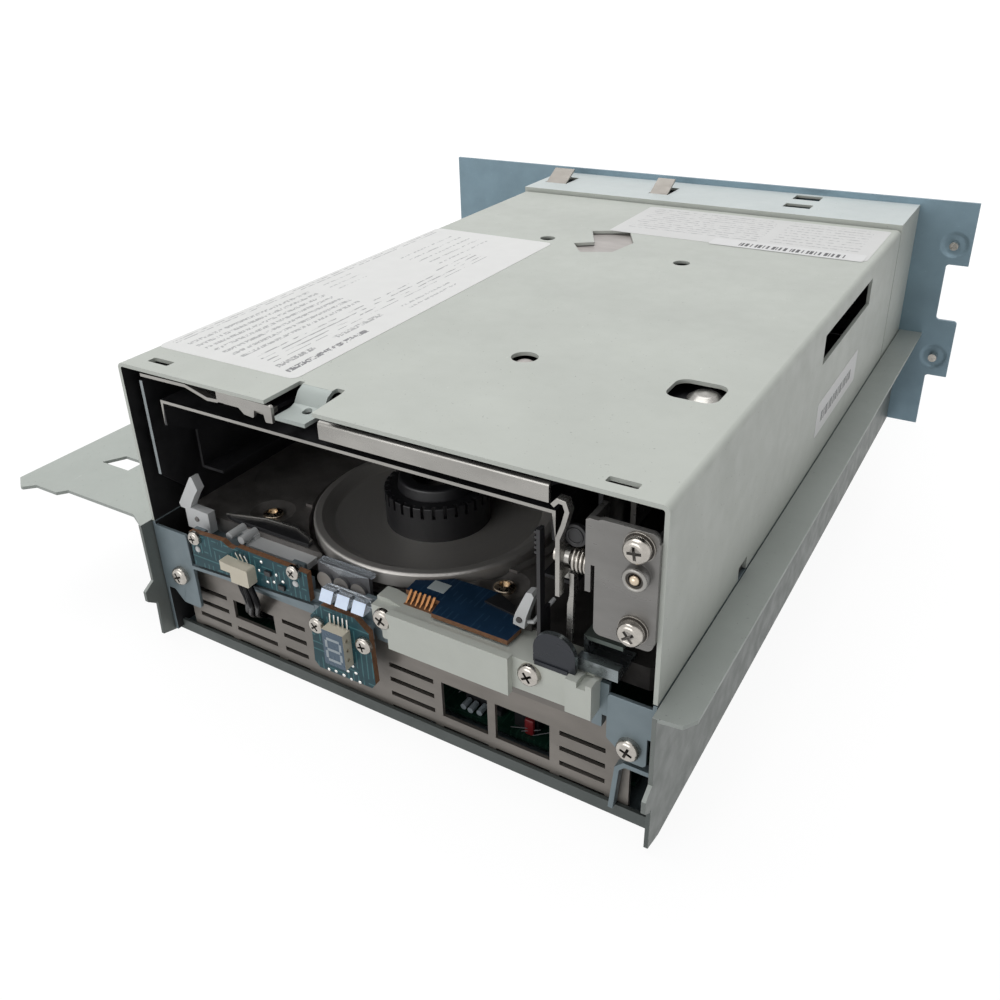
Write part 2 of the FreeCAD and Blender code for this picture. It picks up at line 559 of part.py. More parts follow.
def lower_chassis():
    wall_top = TRAY_WALL_HEIGHT - 0.4
    pan = block((-CASE_OUT, CASE_OUT), (GRILLE_Y + GRILLE_SHEET, DRIVE_DEPTH), (TRAY_SHEET, PAN_TOP))
    walls = [block((-CASE_OUT, -CASE_IN), (EAR_Y, DRIVE_DEPTH), (TRAY_SHEET, wall_top)),
             block((CASE_IN, CASE_OUT), (EAR_Y, DRIVE_DEPTH), (TRAY_SHEET, wall_top))]
    rear = slab([(-CASE_OUT, TRAY_SHEET), (CASE_OUT, TRAY_SHEET), (CASE_OUT, wall_top),
                 (CASE_IN, wall_top), (CASE_IN, TOP - CASE_SHEET, 0.7), (-CASE_IN, TOP - CASE_SHEET, 0.7),
                 (-CASE_IN, wall_top), (-CASE_OUT, wall_top)], "xz",
                (DRIVE_DEPTH - CASE_SHEET, DRIVE_DEPTH))
    ear_y = (EAR_Y, EAR_Y + EAR_SHEET)
    left = slab([(-CASE_OUT, LEFT_EAR_TOP), (LEFT_EAR_END - 0.6, LEFT_EAR_TOP, 1.0), (LEFT_EAR_END, 20.0),
                 (LEFT_EAR_END, 12.6, 1.0), (-CASE_OUT + 6.5, 12.6, 1.0), (-CASE_OUT + 3.5, 16.0),
                 (-CASE_OUT, 16.0)], "xz", ear_y)
    step = RIGHT_EAR[1] - EAR_STEP
    right = slab([(RIGHT_EAR[1], RIGHT_EAR_TOP), (RIGHT_EAR[0], RIGHT_EAR_TOP, 0.8),
                  (RIGHT_EAR[0], 24.0), (RIGHT_EAR[0] + 2.4, 22.0), (step - 4.0, RIGHT_EAR_BOTTOM),
                  (step, RIGHT_EAR_BOTTOM, 1.2), (step, EAR_STEP_TOP), (RIGHT_EAR[1], EAR_STEP_TOP)],
                 "xz", ear_y)
    hook = slab(strip(HOOK, 1.2), "xz", (EAR_Y + 0.4, EAR_Y + 2.8))
    spacers = [rod(2.6, at(x, EAR_Y + EAR_SHEET, z), GRILLE_Y - EAR_Y - EAR_SHEET, BACK)
               for x, z in EAR_SCREWS]
    posts = [rod(STANDOFF_RADIUS, at(x, y, PAN_TOP), MAIN_BOARD_Z - PAN_TOP) for x, y in board_corners()]
    connector_gap = block((-52, 52), (DRIVE_DEPTH - 3, DRIVE_DEPTH + 3), (8, 20))
    vents = [block((x, x + 10), (DRIVE_DEPTH - 3, DRIVE_DEPTH + 3), (z, z + 2.2))
             for x in range(-60, 60, 14) for z in (44, 50, 56, 62)]
    holes = [rod(SCREW_SHANK_RADIUS, at(x, EAR_Y - 1, z), 8, BACK) for x, z in EAR_SCREWS]
    whole = fuse([pan, rear, left, right, hook] + walls + spacers + posts)
    return whole.cut(group([connector_gap] + vents + holes))


def board_corners():
    (x0, x1), (y0, y1) = MAIN_BOARD
    return [(x, y) for x in (x0 + 6, x1 - 6) for y in (y0 + 6, y1 - 6)]


def slot_rows():
    return [SLOT_TOP - SLOT_PITCH * row for row in range(4)]


def grille_plate():
    y = (GRILLE_Y, GRILLE_Y + GRILLE_SHEET)
    plate = slab([(GRILLE_SPAN[0], TRAY_SHEET), (GRILLE_SPAN[1], TRAY_SHEET),
                  (GRILLE_SPAN[1], 25.4), (GRILLE_SPAN[1] - 5.5, 27.4), (GRILLE_SPAN[0], GRILLE_TOP)],
                 "xz", y)
    foot = block((GRILLE_SPAN[0], -20.0), (GRILLE_Y, GRILLE_Y + 6.0), (GRILLE_TOP - 1.0, GRILLE_TOP))
    tools = []
    cutter = (GRILLE_Y - 1, GRILLE_Y + 3)
    for top in slot_rows():
        for column in SLOT_COLUMNS:
            tools.append(block(column, cutter, (top - SLOT_HEIGHT, top)))
    for (span, height), rows in zip(WINDOWS, WINDOW_SLOTS):
        tools.append(block(span, cutter, height))
        for top in slot_rows()[4 - rows:]:
            tools.append(block(span, cutter, (top - SLOT_HEIGHT, top)))
    tools += [rod(SCREW_SHANK_RADIUS, at(x, cutter[0], z), 6, BACK) for x, z in EAR_SCREWS]
    return fuse([plate, foot]).cut(group(tools))


# ---------------------------------------------------------------- boards at the front
def main_board():
    plate = block(MAIN_BOARD[0], MAIN_BOARD[1], (MAIN_BOARD_Z, MAIN_BOARD_Z + BOARD_SHEET))
    return cut(plate, [rod(SCREW_SHANK_RADIUS, at(x, y, 0), 20) for x, y in board_corners()])


def board_components():
    z = MAIN_BOARD_Z + BOARD_SHEET
    rear = MAIN_BOARD[1][1]
    pieces = [block((18.6, 25.0), (12.0, 16.5), (z, z + 2.2)),
              block((26.2, 29.4), (11.0, 14.0), (z, z + 1.6)),
              block((33.5, 40.0), (10.5, 13.5), (z, z + 5.6)),
              rod(2.6, at(43.4, 15.0, z), 5.2),
              block((-48.0, -37.0), (12.0, 18.0), (z, z + 4.2)),
              block((-30.0, 4.0), (60.0, 94.0), (z, z + 2.6)),
              block((20.0, 46.0), (80.0, 106.0), (z, z + 2.2)),
              block((-56.0, -40.0), (120.0, 150.0), (z, z + 2.0)),
              block((-10.0, 40.0), (rear - 14.0, rear - 4.0), (z, z + 10.0))]
    pieces += [rod(4.0, at(x, rear - 26.0, z), 11.0) for x in (14.0, 24.0, 34.0)]
    return group(pieces)


def sensor_board():
    y = (SENSOR_BOARD_Y, SENSOR_BOARD_Y + BOARD_SHEET)
    radius = SCREW_SHANK_RADIUS * SENSOR_SCREW_SCALE
    holes = [rod(radius, at(x, y[0] - 1, z), 4, BACK) for x, z in SENSOR_SCREWS]
    return cut(slab(SENSOR_BOARD, "xz", y), holes)


def board_carrier():
    """Zinc strip that carries the sensor board, the light pipes and the display board."""
    y = SENSOR_BOARD_Y + BOARD_SHEET
    right = BRACKET_X[1] + 0.5
    back = slab([(-59.6, 27.4), (-17.6, 29.8), (-17.6, 36.6), (-59.6, 35.0)], "xz", (y, y + 1.0))
    lugs = [block((x - 1.9, x + 1.9), (y, y + 1.0), (z - 4.0, z + 1.5)) for x, z in SENSOR_SCREWS]
    ledge = slab([(-59.6, 27.4), (-59.6, 26.4), (-16.5, 28.8), (-16.5, 29.8)], "xz",
                 (SENSOR_BOARD_Y, y + 1.0))
    saddle = block((-17.7, -1.0), (y, y + 1.0), (28.8, 33.0))
    shelf = block((-1.0, right + 1.5), (y, y + 1.0), (28.8, 37.4))
    feet = block((-59.6, right), (y + 1.0, GRILLE_Y), (25.4, 28.8))
    skirt = block((-59.6, right), (y, y + 1.0), (25.4, 29.8))
    tie = block((-59.6, -30.0), (y, DECK_FRONT), (33.6, 34.6))
    tie_right = block((6.0, BRACKET_X[1] - 8.0), (y, DECK_FRONT), (33.6, 34.6))
    arm_y = DISPLAY_BOARD_Y + BOARD_SHEET
    arm = slab([(-16.2, 30.5), (1.2, 30.5), (1.4, 23.6), (-16.2, 23.6)], "xz", (arm_y, arm_y + 0.8))
    neck = block((-15.0, 1.0), (arm_y, y + 1.0), (28.9, 30.5))
    plates = fuse([back, ledge, saddle, shelf, feet, skirt, tie, tie_right, arm, neck] + lugs)
    holes = [rod(SCREW_SHANK_RADIUS * scale, at(x, -4, z), 9, BACK)
             for scale, places in front_board_screws() for x, z in places]
    return plates.cut(group(holes))


def front_board_screws():
    return ((SENSOR_SCREW_SCALE, SENSOR_SCREWS), (DISPLAY_SCREW_SCALE, DISPLAY_SCREWS),
            (BRACKET_SCREW_SCALE, BRACKET_SCREWS))


def sensor_connector():
    """Cream cable connector with a locking ear at its top left."""
    front = SENSOR_BOARD_Y - CONNECTOR_DEPTH
    left = CONNECTOR_BODY_LEFT
    low, top = CONNECTOR_Z
    body = slab([(CONNECTOR_X[0], top + 0.4), (left, top), (CONNECTOR_X[1], top, 0.6),
                 (CONNECTOR_X[1], low, 0.6), (left, low), (left, CONNECTOR_EAR_Z),
                 (CONNECTOR_X[0], CONNECTOR_EAR_Z)], "xz", (front, SENSOR_BOARD_Y))
    mouth = block((left + 0.5, CONNECTOR_X[1] - 0.3), (front + 0.6, SENSOR_BOARD_Y - 0.5),
                  (low - 2, low + 2.4))
    return body.cut(mouth)


def sensor_cable():
    """Three black leads from the connector, over the grille and in through its left window."""
    leads = []
    for place in (-1, 0, 1):
        points = [at(x + place * CABLE_PITCH, y - 0.7 * (place == 0) * (index in (2, 3)), z)
                  for index, (x, y, z) in enumerate(CABLE_RUN)]
        leads.append(tube_along(points, CABLE_RADIUS))
    return group(leads)


def tube_along(points, radius):
    """A round tube of straight runs joined by tangent arcs."""
    edges = []
    last = points[0]
    for before, corner, after in zip(points, points[1:], points[2:]):
        to_before = (before - corner)
        to_after = (after - corner)
        shorter = min(to_before.Length, to_after.Length)
        to_before.normalize()
        to_after.normalize()
        half = to_before.getAngle(to_after) / 2
        reach = 0.45 * shorter
        bend = reach * math.tan(half)
        middle = (to_before + to_after).normalize()
        centre = corner + middle * (bend / math.sin(half))
        enter = corner + to_before * reach
        leave = corner + to_after * reach
        edges.append(Part.LineSegment(last, enter).toShape())
        edges.append(Part.Arc(enter, centre - middle * bend, leave).toShape())
        last = leave
    edges.append(Part.LineSegment(last, points[-1]).toShape())
    path = Part.Wire(edges)
    start = points[1] - points[0]
    section = Part.Wire([Part.makeCircle(radius, points[0], start)])
    return path.makePipeShell([section], True, True)


def display_board():
    y = (DISPLAY_BOARD_Y, DISPLAY_BOARD_Y + BOARD_SHEET)
    radius = SCREW_SHANK_RADIUS * DISPLAY_SCREW_SCALE
    holes = [rod(radius, at(x, y[0] - 1, z), 4, BACK) for x, z in DISPLAY_SCREWS]
    return cut(slab(DISPLAY_BOARD, "xz", y), holes)


def seven_segment_block():
    y = (DISPLAY_BOARD_Y - DIGIT_DEPTH, DISPLAY_BOARD_Y)
    body = block(DIGIT_X, y, DIGIT_Z)
    dots = [rod(DIGIT_DOT_RADIUS, at(DIGIT_X[1] - 1.0, y[0] + 1.5, DIGIT_Z[0] + 2.4 + 2.8 * row), 2, RIGHT)
            for row in range(3)]
    return cut(body, dots)


def light_pipes():
    """Three clear pipes with slanted faces, and behind them a wall with three round windows."""
    board_back = DISPLAY_BOARD_Y + BOARD_SHEET
    right = PIPE_X + 2 * PIPE_PITCH + PIPE_WIDTH
    bar = block((PIPE_X, right), (board_back + 0.8, 1.0), (PIPE_Z[0] + 0.2, PIPE_Z[1] - 0.4))
    wall = slab([(-17.0, 33.0), (-1.2, 33.0), (-1.2, 40.9), (-17.0, 40.9)], "xz", (3.0, 4.2))
    top = block((-17.0, -1.2), (3.0, 5.6), (39.9, 40.9))
    neck = block((PIPE_X, -1.4), (0.6, 3.2), (33.2, 36.0))
    side = [(PIPE_Y, PIPE_Z[0]), (PIPE_Y + PIPE_LEAN, PIPE_Z[1]), (board_back + 1.0, PIPE_Z[1]),
            (board_back + 1.0, PIPE_Z[0])]
    pieces = [bar, wall, top, neck]
    for index in range(3):
        left = PIPE_X + index * PIPE_PITCH
        pieces.append(slab(side, "yz", (left, left + PIPE_WIDTH)))
        pieces.append(rod(DISC_RADIUS, at(DISC_X + index * DISC_PITCH, 2.1, 36.4), 1.1, BACK))
    return fuse(pieces)


def front_bracket():
    ledge = BRACKET_TOP - 0.6
    body = slab([(BRACKET_X[0], ledge), (BRACKET_X[1], ledge), (BRACKET_X[1], BRACKET_LOW + 0.4),
                 (9.0, BRACKET_LOW), (BRACKET_X[0] + 2.5, BRACKET_LOW - 0.2, 0.6),
                 (BRACKET_X[0] + 2.5, BRACKET_LOW + 1.9), (BRACKET_X[0], BRACKET_LOW + 4.6)],
                "xz", (BRACKET_Y, SENSOR_BOARD_Y + BOARD_SHEET))
    face = block(BRACKET_FACE_X, (BRACKET_FACE_Y, BRACKET_Y), (BRACKET_LOW - 0.8, BRACKET_TOP))
    end = block(BRACKET_END_X, (BRACKET_FACE_Y + 0.6, SENSOR_BOARD_Y), (BRACKET_LOW + 0.4, BRACKET_TOP))
    top = slab([(BRACKET_X[0], BRACKET_Y), (BRACKET_X[1], BRACKET_Y), (BRACKET_X[1], DECK_FRONT),
                (10.4, DECK_FRONT), (9.0, 5.0), (BRACKET_X[0], 5.0)], "xy", (37.4, ledge))
    ramp = slab([(BRACKET_X[0], ledge), (BRACKET_X[0], ledge + 1.0), (BRACKET_X[0] + 3.2, ledge + 1.0),
                 (9.8, ledge)], "xz", (0.4, 4.6))
    notch = block((BRACKET_X[1] - 3.4, BRACKET_X[1] - 1.4), (BRACKET_FACE_Y, 1.6),
                  (BRACKET_TOP - 1.4, BRACKET_TOP + 1))
    radius = SCREW_SHANK_RADIUS * BRACKET_SCREW_SCALE
    holes = [rod(radius, at(x, -6, z), 9, BACK) for x, z in BRACKET_SCREWS]
    holes += [rod(SCREW_HEAD_RADIUS, at(x, BRACKET_Y - 4, z), 4, BACK) for x, z in BRACKET_SCREWS]
    return fuse([body, face, end, top, ramp]).cut(group([notch] + holes))


def contact_board():
    plate = slab(CONTACT_BOARD, "xy", (DECK_Z[1], DECK_Z[1] + CONTACT_BOARD_SHEET))
    return plate.cut(rod(DISH_RIM_RADIUS + 0.8, at(*REEL, DECK_Z[1] - 1), 4))


# ---------------------------------------------------------------- deck and reel drive
def deck_frame():
    z = DECK_Z
    plate = slab([(-CASE_IN, DECK_FRONT + 3), (-CASE_IN + 4, DECK_FRONT), (CASE_IN - 4, DECK_FRONT),
                  (CASE_IN, DECK_FRONT + 3), (CASE_IN, DECK_BACK), (-CASE_IN, DECK_BACK)], "xy", z)
    pocket = rod(DISH_RIM_RADIUS + DISH_GAP, at(*REEL, z[0] + 1.6), 10)
    collar = ring(DISH_RIM_RADIUS + DISH_GAP + 2.0, DISH_RIM_RADIUS + DISH_GAP, at(*REEL, z[1]), 0.8)
    collar = collar.common(block((-CASE_IN, CASE_IN), (24.0, 90.0), (z[1], z[1] + 1)))
    legs = [block((x, x + 6), (y, y + 6), (PAN_TOP, z[0])) for x in (-CASE_IN, CASE_IN - 6)
            for y in (20.0, DECK_BACK - 8)]
    dishes = []
    for x, y in DECK_SCREWS:
        dishes.append(Part.makeCone(DECK_SCREW_RADIUS + 0.6, DECK_SCREW_RADIUS + 3.4, 1.2,
                                    at(x, y, z[1] - 1.2)))
    ribs = [block((-CASE_IN + 12, CASE_IN - 12), (y, y + 2), (z[0] - 4, z[0]))
            for y in (90.0, DECK_BACK - 10.0)]
    windows = [rod(14.2, at(*REEL, z[0] - 5), 12),
               block((CASE_IN - 24, CASE_IN - 8), (112, DECK_BACK - 20), (z[0] - 1, z[1] + 1))]
    whole = fuse([plate, collar] + legs + ribs).cut(group([pocket] + dishes + windows))
    return fuse([whole] + sense_pins())


def deck_screws():
    """Brass-coloured flat heads that hold the reel motor's base to the deck."""
    seat = DECK_Z[1] - 1.2
    return group([turned([(0, seat), (DECK_SCREW_RADIUS, seat), (DECK_SCREW_RADIUS, seat + 0.8, 0.4),
                          (1.3, seat + 1.3), (1.3, seat + 0.5), (0, seat + 0.5)], centre)
                  for centre in DECK_SCREWS])


def reel_motor_stator():
    z = DECK_Z[0]
    base = rod(22.0, at(*REEL, z - 2.0), 2.0)
    coils = ring(13.6, 6.0, at(*REEL, z), 1.9)
    web = rod(6.5, at(*REEL, z), 1.9)
    shaft = rod(SHAFT_RADIUS, at(*REEL, z), HUB_TOP - 4.0 - z)
    return fuse([base, coils, web, shaft])


def reel_rotor():
    z = DECK_Z[0]
    bore = SHAFT_RADIUS + SHAFT_FIT
    profile = [(bore, z + 2.2), (30.6, z + 2.2), (DISH_RIM_RADIUS, z + 4.2),
               (DISH_RIM_RADIUS, DISH_RIM_Z, 0.7),
               (30.8, DISH_RIM_Z, 0.5), (27.6, DISH_RIM_Z - 2.2), (CLUTCH_RADIUS + 1.0, DISH_RIM_Z - 3.4),
               (bore, DISH_RIM_Z - 3.4)]
    return turned(profile, REEL)


def clutch_gear():
    low = DISH_RIM_Z - 3.4
    bore = SHAFT_RADIUS + SHAFT_FIT
    crown = CLUTCH_TOP
    body = turned([(bore, low), (CLUTCH_RADIUS, low), (CLUTCH_RADIUS, crown, 0.3), (HUB_RADIUS + 0.4, crown),
                   (HUB_RADIUS, HUB_TOP, 0.8), (HUB_RADIUS - 3.4, HUB_TOP, 0.6), (HUB_RADIUS - 4.0, crown),
                   (bore, crown)], REEL)
    gaps = []
    for tooth in range(CLUTCH_TEETH):
        gap = block((CLUTCH_RADIUS - 1.4, CLUTCH_RADIUS + 1), (-CLUTCH_GAP / 2, CLUTCH_GAP / 2),
                    (crown - 3.0, crown + 1))
        gap.rotate(at(0, 0, 0), UP, 360.0 * tooth / CLUTCH_TEETH)
        gap.translate(at(*REEL, 0))
        gaps.append(gap)
    return body.cut(group(gaps))


def take_up_stator():
    base = rod(15.0, at(*TAKE_UP, DECK_Z[1]), 7.0)
    shaft = rod(SHAFT_RADIUS, at(*TAKE_UP, DECK_Z[1]), tape_low() + TAPE_WIDTH + 0.4 - DECK_Z[1])
    return fuse([base, shaft])


def tape_low():
    return TAPE_Z - TAPE_WIDTH / 2


def take_up_reel():
    low = tape_low() - 0.3
    high = low + TAPE_WIDTH + 0.6
    bore = SHAFT_RADIUS + SHAFT_FIT
    body = turned([(bore, low - FLANGE_SHEET), (FLANGE_RADIUS, low - FLANGE_SHEET), (FLANGE_RADIUS, low),
                   (TAKE_UP_HUB_RADIUS, low), (TAKE_UP_HUB_RADIUS, high), (FLANGE_RADIUS, high),
                   (FLANGE_RADIUS, high + FLANGE_SHEET), (bore, high + FLANGE_SHEET)], TAKE_UP)
    windows = []
    for turn in range(6):
        window = slab([(22, -4, 1.5), (36, -7.5, 1.5), (36, 7.5, 1.5), (22, 4, 1.5)], "xy",
                      (high - 1, high + 3))
        window.rotate(at(0, 0, 0), UP, 60.0 * turn)
        window.translate(at(*TAKE_UP, 0))
        windows.append(window)
    return body.cut(group(windows))


def guide_roller(centre):
    low = tape_low()
    bore = ROLLER_POST_RADIUS + ROLLER_FIT
    high = low + TAPE_WIDTH
    return turned([(bore, low - 1.0), (ROLLER_FLANGE, low - 1.0), (ROLLER_FLANGE, low - 0.2),
                   (ROLLER_RADIUS, low), (ROLLER_RADIUS, high), (ROLLER_FLANGE, high + 0.2),
                   (ROLLER_FLANGE, high + 1.0), (bore, high + 1.0)], centre)


def tape_path_posts():
    pieces = []
    for x, y in ROLLERS:
        base = rod(3.2, at(x, y, DECK_Z[1]), tape_low() - 1.3 - DECK_Z[1])
        pin = rod(ROLLER_POST_RADIUS, at(x, y, DECK_Z[1]), tape_low() + TAPE_WIDTH + 2.0 - DECK_Z[1])
        pieces.append(fuse([base, pin]))
    foot = rod(2.7, at(*THREADER, DECK_Z[1]), THREADER_Z - 0.1 - DECK_Z[1])
    pin = rod(2.0, at(*THREADER, DECK_Z[1]), THREADER_Z + THREADER_SHEET + 1.5 - DECK_Z[1])
    pieces.append(fuse([foot, pin]))
    return group(pieces)


def head_yoke():
    y = (HEAD_Y - 7.5, HEAD_Y + 7.5)
    base = block(YOKE_X, y, (YOKE_Z[0], YOKE_Z[0] + 3))
    cap = block(YOKE_X, y, (YOKE_Z[1] - 2, YOKE_Z[1]))
    wall = block((YOKE_X[0], YOKE_X[0] + 1.8), y, YOKE_Z)
    rods = [rod(HEAD_ROD_RADIUS, at(head_rod_x(), HEAD_Y + side * HEAD_ROD_PITCH / 2, YOKE_Z[0]),
                YOKE_Z[1] - YOKE_Z[0]) for side in (-1, 1)]
    return fuse([base, cap, wall] + rods)


def head_rod_x():
    return (YOKE_X[0] + YOKE_X[1]) / 2 + 1.0


def head_carriage():
    z = (tape_low() - 1.5, tape_low() + TAPE_WIDTH + 1.5)
    body = block((YOKE_X[0] + 2.6, YOKE_X[1] + 1.0), (HEAD_Y - 5.4, HEAD_Y + 5.4), z)
    face = slab([(YOKE_X[1] + 1.0, HEAD_Y - 3.4), (HEAD_FACE_X, HEAD_Y - 2.2, 0.8),
                 (HEAD_FACE_X, HEAD_Y + 2.2, 0.8), (YOKE_X[1] + 1.0, HEAD_Y + 3.4)], "xy",
                (tape_low(), tape_low() + TAPE_WIDTH))
    bores = [rod(HEAD_ROD_RADIUS + HEAD_FIT, at(head_rod_x(), HEAD_Y + side * HEAD_ROD_PITCH / 2, z[0] - 1),
                 z[1] - z[0] + 2) for side in (-1, 1)]
    return fuse([body, face]).cut(group(bores))


def threader_arm():
    x, y = THREADER
    z = (THREADER_Z, THREADER_Z + THREADER_SHEET)
    half = THREADER_WIDTH / 2
    tip = y - THREADER_REACH
    bar = slab([(x - half, y + half, half - 0.1), (x - half, tip - half, 1.5), (x + half, tip - half, 1.5),
                (x + half, y + half, half - 0.1)], "xy", z)
    grabber = slab([(x - 2.6, tip - 3.0, 1.0), (x + 2.6, tip - 3.0, 1.0), (x + 2.6, tip + 3.0),
                    (x + 1.0, tip + 3.0), (x + 1.0, tip), (x - 1.0, tip), (x - 1.0, tip + 3.0),
                    (x - 2.6, tip + 3.0)], "xy", (tape_low() + TAPE_WIDTH + 2.2, z[0]))
    slots = [slab(rectangle((x - 1.6, x + 1.6), (tip + 12, y - 12), 1.5), "xy", (z[0] - 1, z[1] + 1)),
             rod(2.0 + SHAFT_FIT, at(x, y, z[0] - 1), 5)]
    return fuse([bar, grabber]).cut(group(slots))


# ---------------------------------------------------------------- mouth and loader
def cage_top():
    return CAGE_FLOOR + CAGE_SHEET + CARTRIDGE_HEIGHT + 0.4


def loader_cage():
    left, right = CAGE_LEFT, CAGE_RIGHT
    roof_z = (cage_top(), cage_top() + CAGE_SHEET)
    roof = slab([(left - CAGE_SHEET, CAGE_Y[0]), (right + CAGE_SHEET, CAGE_Y[0]),
                 (right + CAGE_SHEET, CAGE_Y[1]), (left - CAGE_SHEET, CAGE_Y[1])], "xy", roof_z)
    opening = slab([(left + 22, 22.0, 4), (right - 22, 22.0, 4), (right - 22, CAGE_Y[1] - 14, 4),
                    (left + 22, CAGE_Y[1] - 14, 4)], "xy", (roof_z[0] - 1, roof_z[1] + 1))
    side = [(CAGE_Y[0], roof_z[1]), (CAGE_Y[0], 67.0), (CAGE_Y[0] + 9, 62.0), (CAGE_Y[0] + 9, CAGE_FLOOR),
            (CAGE_Y[1], CAGE_FLOOR), (CAGE_Y[1], roof_z[1])]
    walls = [slab(side, "yz", (left - CAGE_SHEET, left)), slab(side, "yz", (right, right + CAGE_SHEET))]
    rail_y = (CAGE_Y[0] + 9, CAGE_Y[1])
    rails = [block((left, left + CAGE_RAIL), rail_y, (CAGE_FLOOR, CAGE_FLOOR + CAGE_SHEET)),
             block((right - CAGE_RAIL, right), rail_y, (CAGE_FLOOR, CAGE_FLOOR + CAGE_SHEET))]
    return fuse([roof] + walls + rails).cut(opening)


def upper_frame():
    z = (FRAME_Z, FRAME_Z + FRAME_SHEET)
    left = SIDE_PLATE_LEFT - SIDE_PLATE_SHEET
    right = SIDE_PLATE_RIGHT + SIDE_PLATE_SHEET
    plate = slab([(left, FRAME_Y[0]), (-25.2, FRAME_Y[0]), (-25.2, FRAME_Y[0] + 10),
                  (LIP_X[0], FRAME_Y[0] + 10), (LIP_X[0], LIP_Y + 1.0), (LIP_X[1], LIP_Y + 1.0),
                  (right, 16.0), (right, DOME[1] - 9.0),
                  (DOME[0] + 6.0, DOME[1] - 6.0, 3.0), (DOME[0] + 6.0, DOME[1] + 6.0, 3.0),
                  (right, DOME[1] + 9.0), (right, FRAME_Y[1]), (left, FRAME_Y[1])], "xy", z)
    cutter = (FRAME_Z - 1, FRAME_Z + 3)
    holes = [rod(5.0, at(*POST_HOLE, cutter[0]), 4), rod(5.0, at(*SIGHT_HOLES[0], cutter[0]), 4),
             rod(5.0, at(*SIGHT_HOLES[1], cutter[0]), 4),
             slab(rectangle((-44, 30), (70, 118), 8), "xy", cutter)]
    back = FRAME_Y[1]
    posts = [block((left, left + 6), (y, y + 8), (DECK_Z[1], FRAME_Z)) for y in (back - 33.0, back - 8.0)]
    posts += [block((right - 6, right), (y, y + 8), (DECK_Z[1], FRAME_Z)) for y in (104.0, back - 8.0)]
    return fuse([plate] + posts).cut(group(holes))


def mouth_lip():
    """Bright folded strips along the top of the mouth, joined behind the cover's tongue."""
    fold = slab([(LIP_Y, LIP_Z[0]), (LIP_Y, LIP_Z[1], 0.9), (LIP_Y + 1.0, LIP_Z[1]), (LIP_Y + 1.0, LIP_Z[0])],
                "yz", LIP_X)
    notched = slab([(-40.0, 82.2), (-22.8, 82.0, 0.8), (-22.8, 77.6), (-25.0, 77.4, 0.5), (-25.4, 79.6),
                    (-28.2, 79.8), (-28.6, 77.7, 0.5), (-31.6, 78.0, 0.5), (-33.4, 79.6), (-40.0, 79.4)],
                   "xz", (0.6, 1.6))
    web = block((-39.0, -24.6), (1.6, FRAME_Y[0]), (FRAME_Z, FRAME_Z + FRAME_SHEET + 0.4))
    brace = slab(strip([(SIDE_PLATE_LEFT + 1.6, 81.2), (-50.3, 81.4), (-43.3, 79.4), (-39.8, 79.6)], 0.9),
                 "xz", (0.6, 4.4))
    brace_foot = block((SIDE_PLATE_LEFT + 3.6, SIDE_PLATE_LEFT + 11.6), (3.0, 9.0),
                       (FRAME_Z + FRAME_SHEET, FRAME_Z + FRAME_SHEET + 1.5))
    return group([fold, fuse([notched, web, brace, brace_foot])])


def loader_side_left():
    x = (SIDE_PLATE_LEFT - SIDE_PLATE_SHEET, SIDE_PLATE_LEFT)
    plate = slab([(10.0, DECK_Z[1]), (98.0, DECK_Z[1]), (98.0, FRAME_Z), (2.0, FRAME_Z), (2.0, 52.0),
                  (10.0, 44.0)], "yz", x)
    return cut(plate, cage_slots(x))


def cage_slots(x):
    """Slanting slots that guide the cage in and down."""
    tools = []
    for start in (22.0, 60.0):
        low = CAGE_FLOOR + 5.0
        tools.append(slab([(start - 1.6, low + 1.6, 1.0), (start + 13.6, low - 4.6, 1.0),
                           (start + 13.6, low - 8.0, 1.0), (start - 1.6, low - 1.8, 1.0)], "yz",
                          (x[0] - 1, x[1] + 1)))
    return tools


def loader_side_right():
    x = (SIDE_PLATE_RIGHT, SIDE_PLATE_RIGHT + SIDE_PLATE_SHEET)
    plate = block(x, (12.0, 100.0), (DECK_Z[1], FRAME_Z))
    tools = cage_slots(x)
    tools.append(rod(GEAR_BORE, at(x[0] - 1, GEAR_Y, GEAR_Z), 4, RIGHT))
    return fuse([cut(plate, tools)] + slider_pins())


def gear_pitch():
    return GEAR_TEETH * RACK_MODULE / 2


def rack_line():
    return GEAR_Z + gear_pitch()


def cam_slider():
    """Sliding cam plate with its rack, moved by the loader gear."""
    x = (SLIDER_X, SLIDER_X + SLIDER_SHEET)
    base = rack_line() + 1.1 * RACK_MODULE
    plate = slab([(SLIDER_Y[0], base), (SLIDER_Y[1], base), (SLIDER_Y[1], SLIDER_TOP, 2),
                  (SLIDER_Y[0], SLIDER_TOP, 2)], "yz", x)
    pitch = math.pi * RACK_MODULE
    teeth = []
    for index in range(-12, 3):
        centre = GEAR_Y + (index + 0.5) * pitch
        tip = rack_line() - 0.9 * RACK_MODULE
        tooth = [(centre - 0.36 * pitch, base + 0.4), (centre - 0.14 * pitch, tip),
                 (centre + 0.14 * pitch, tip), (centre + 0.36 * pitch, base + 0.4)]
        teeth.append(slab(tooth, "yz", (x[0], x[0] + 3.0)))
    backing = block((x[0], x[0] + 3.0), (GEAR_Y - 12.5 * pitch, GEAR_Y + 3.0 * pitch), (base, base + 1.4))
    reach = SLIDER_PIN_RADIUS + 0.1
    slot_z = (SLIDER_SLOT_Z - reach, SLIDER_SLOT_Z + reach)
    slots = [slab(rectangle((y - reach - SLIDER_TRAVEL - 0.3, y + reach + 0.3), slot_z, reach - 0.01), "yz",
                  (x[0] - 1, x[1] + 1)) for y in SLIDER_PINS]
    return fuse([plate, backing] + teeth).cut(group(slots))


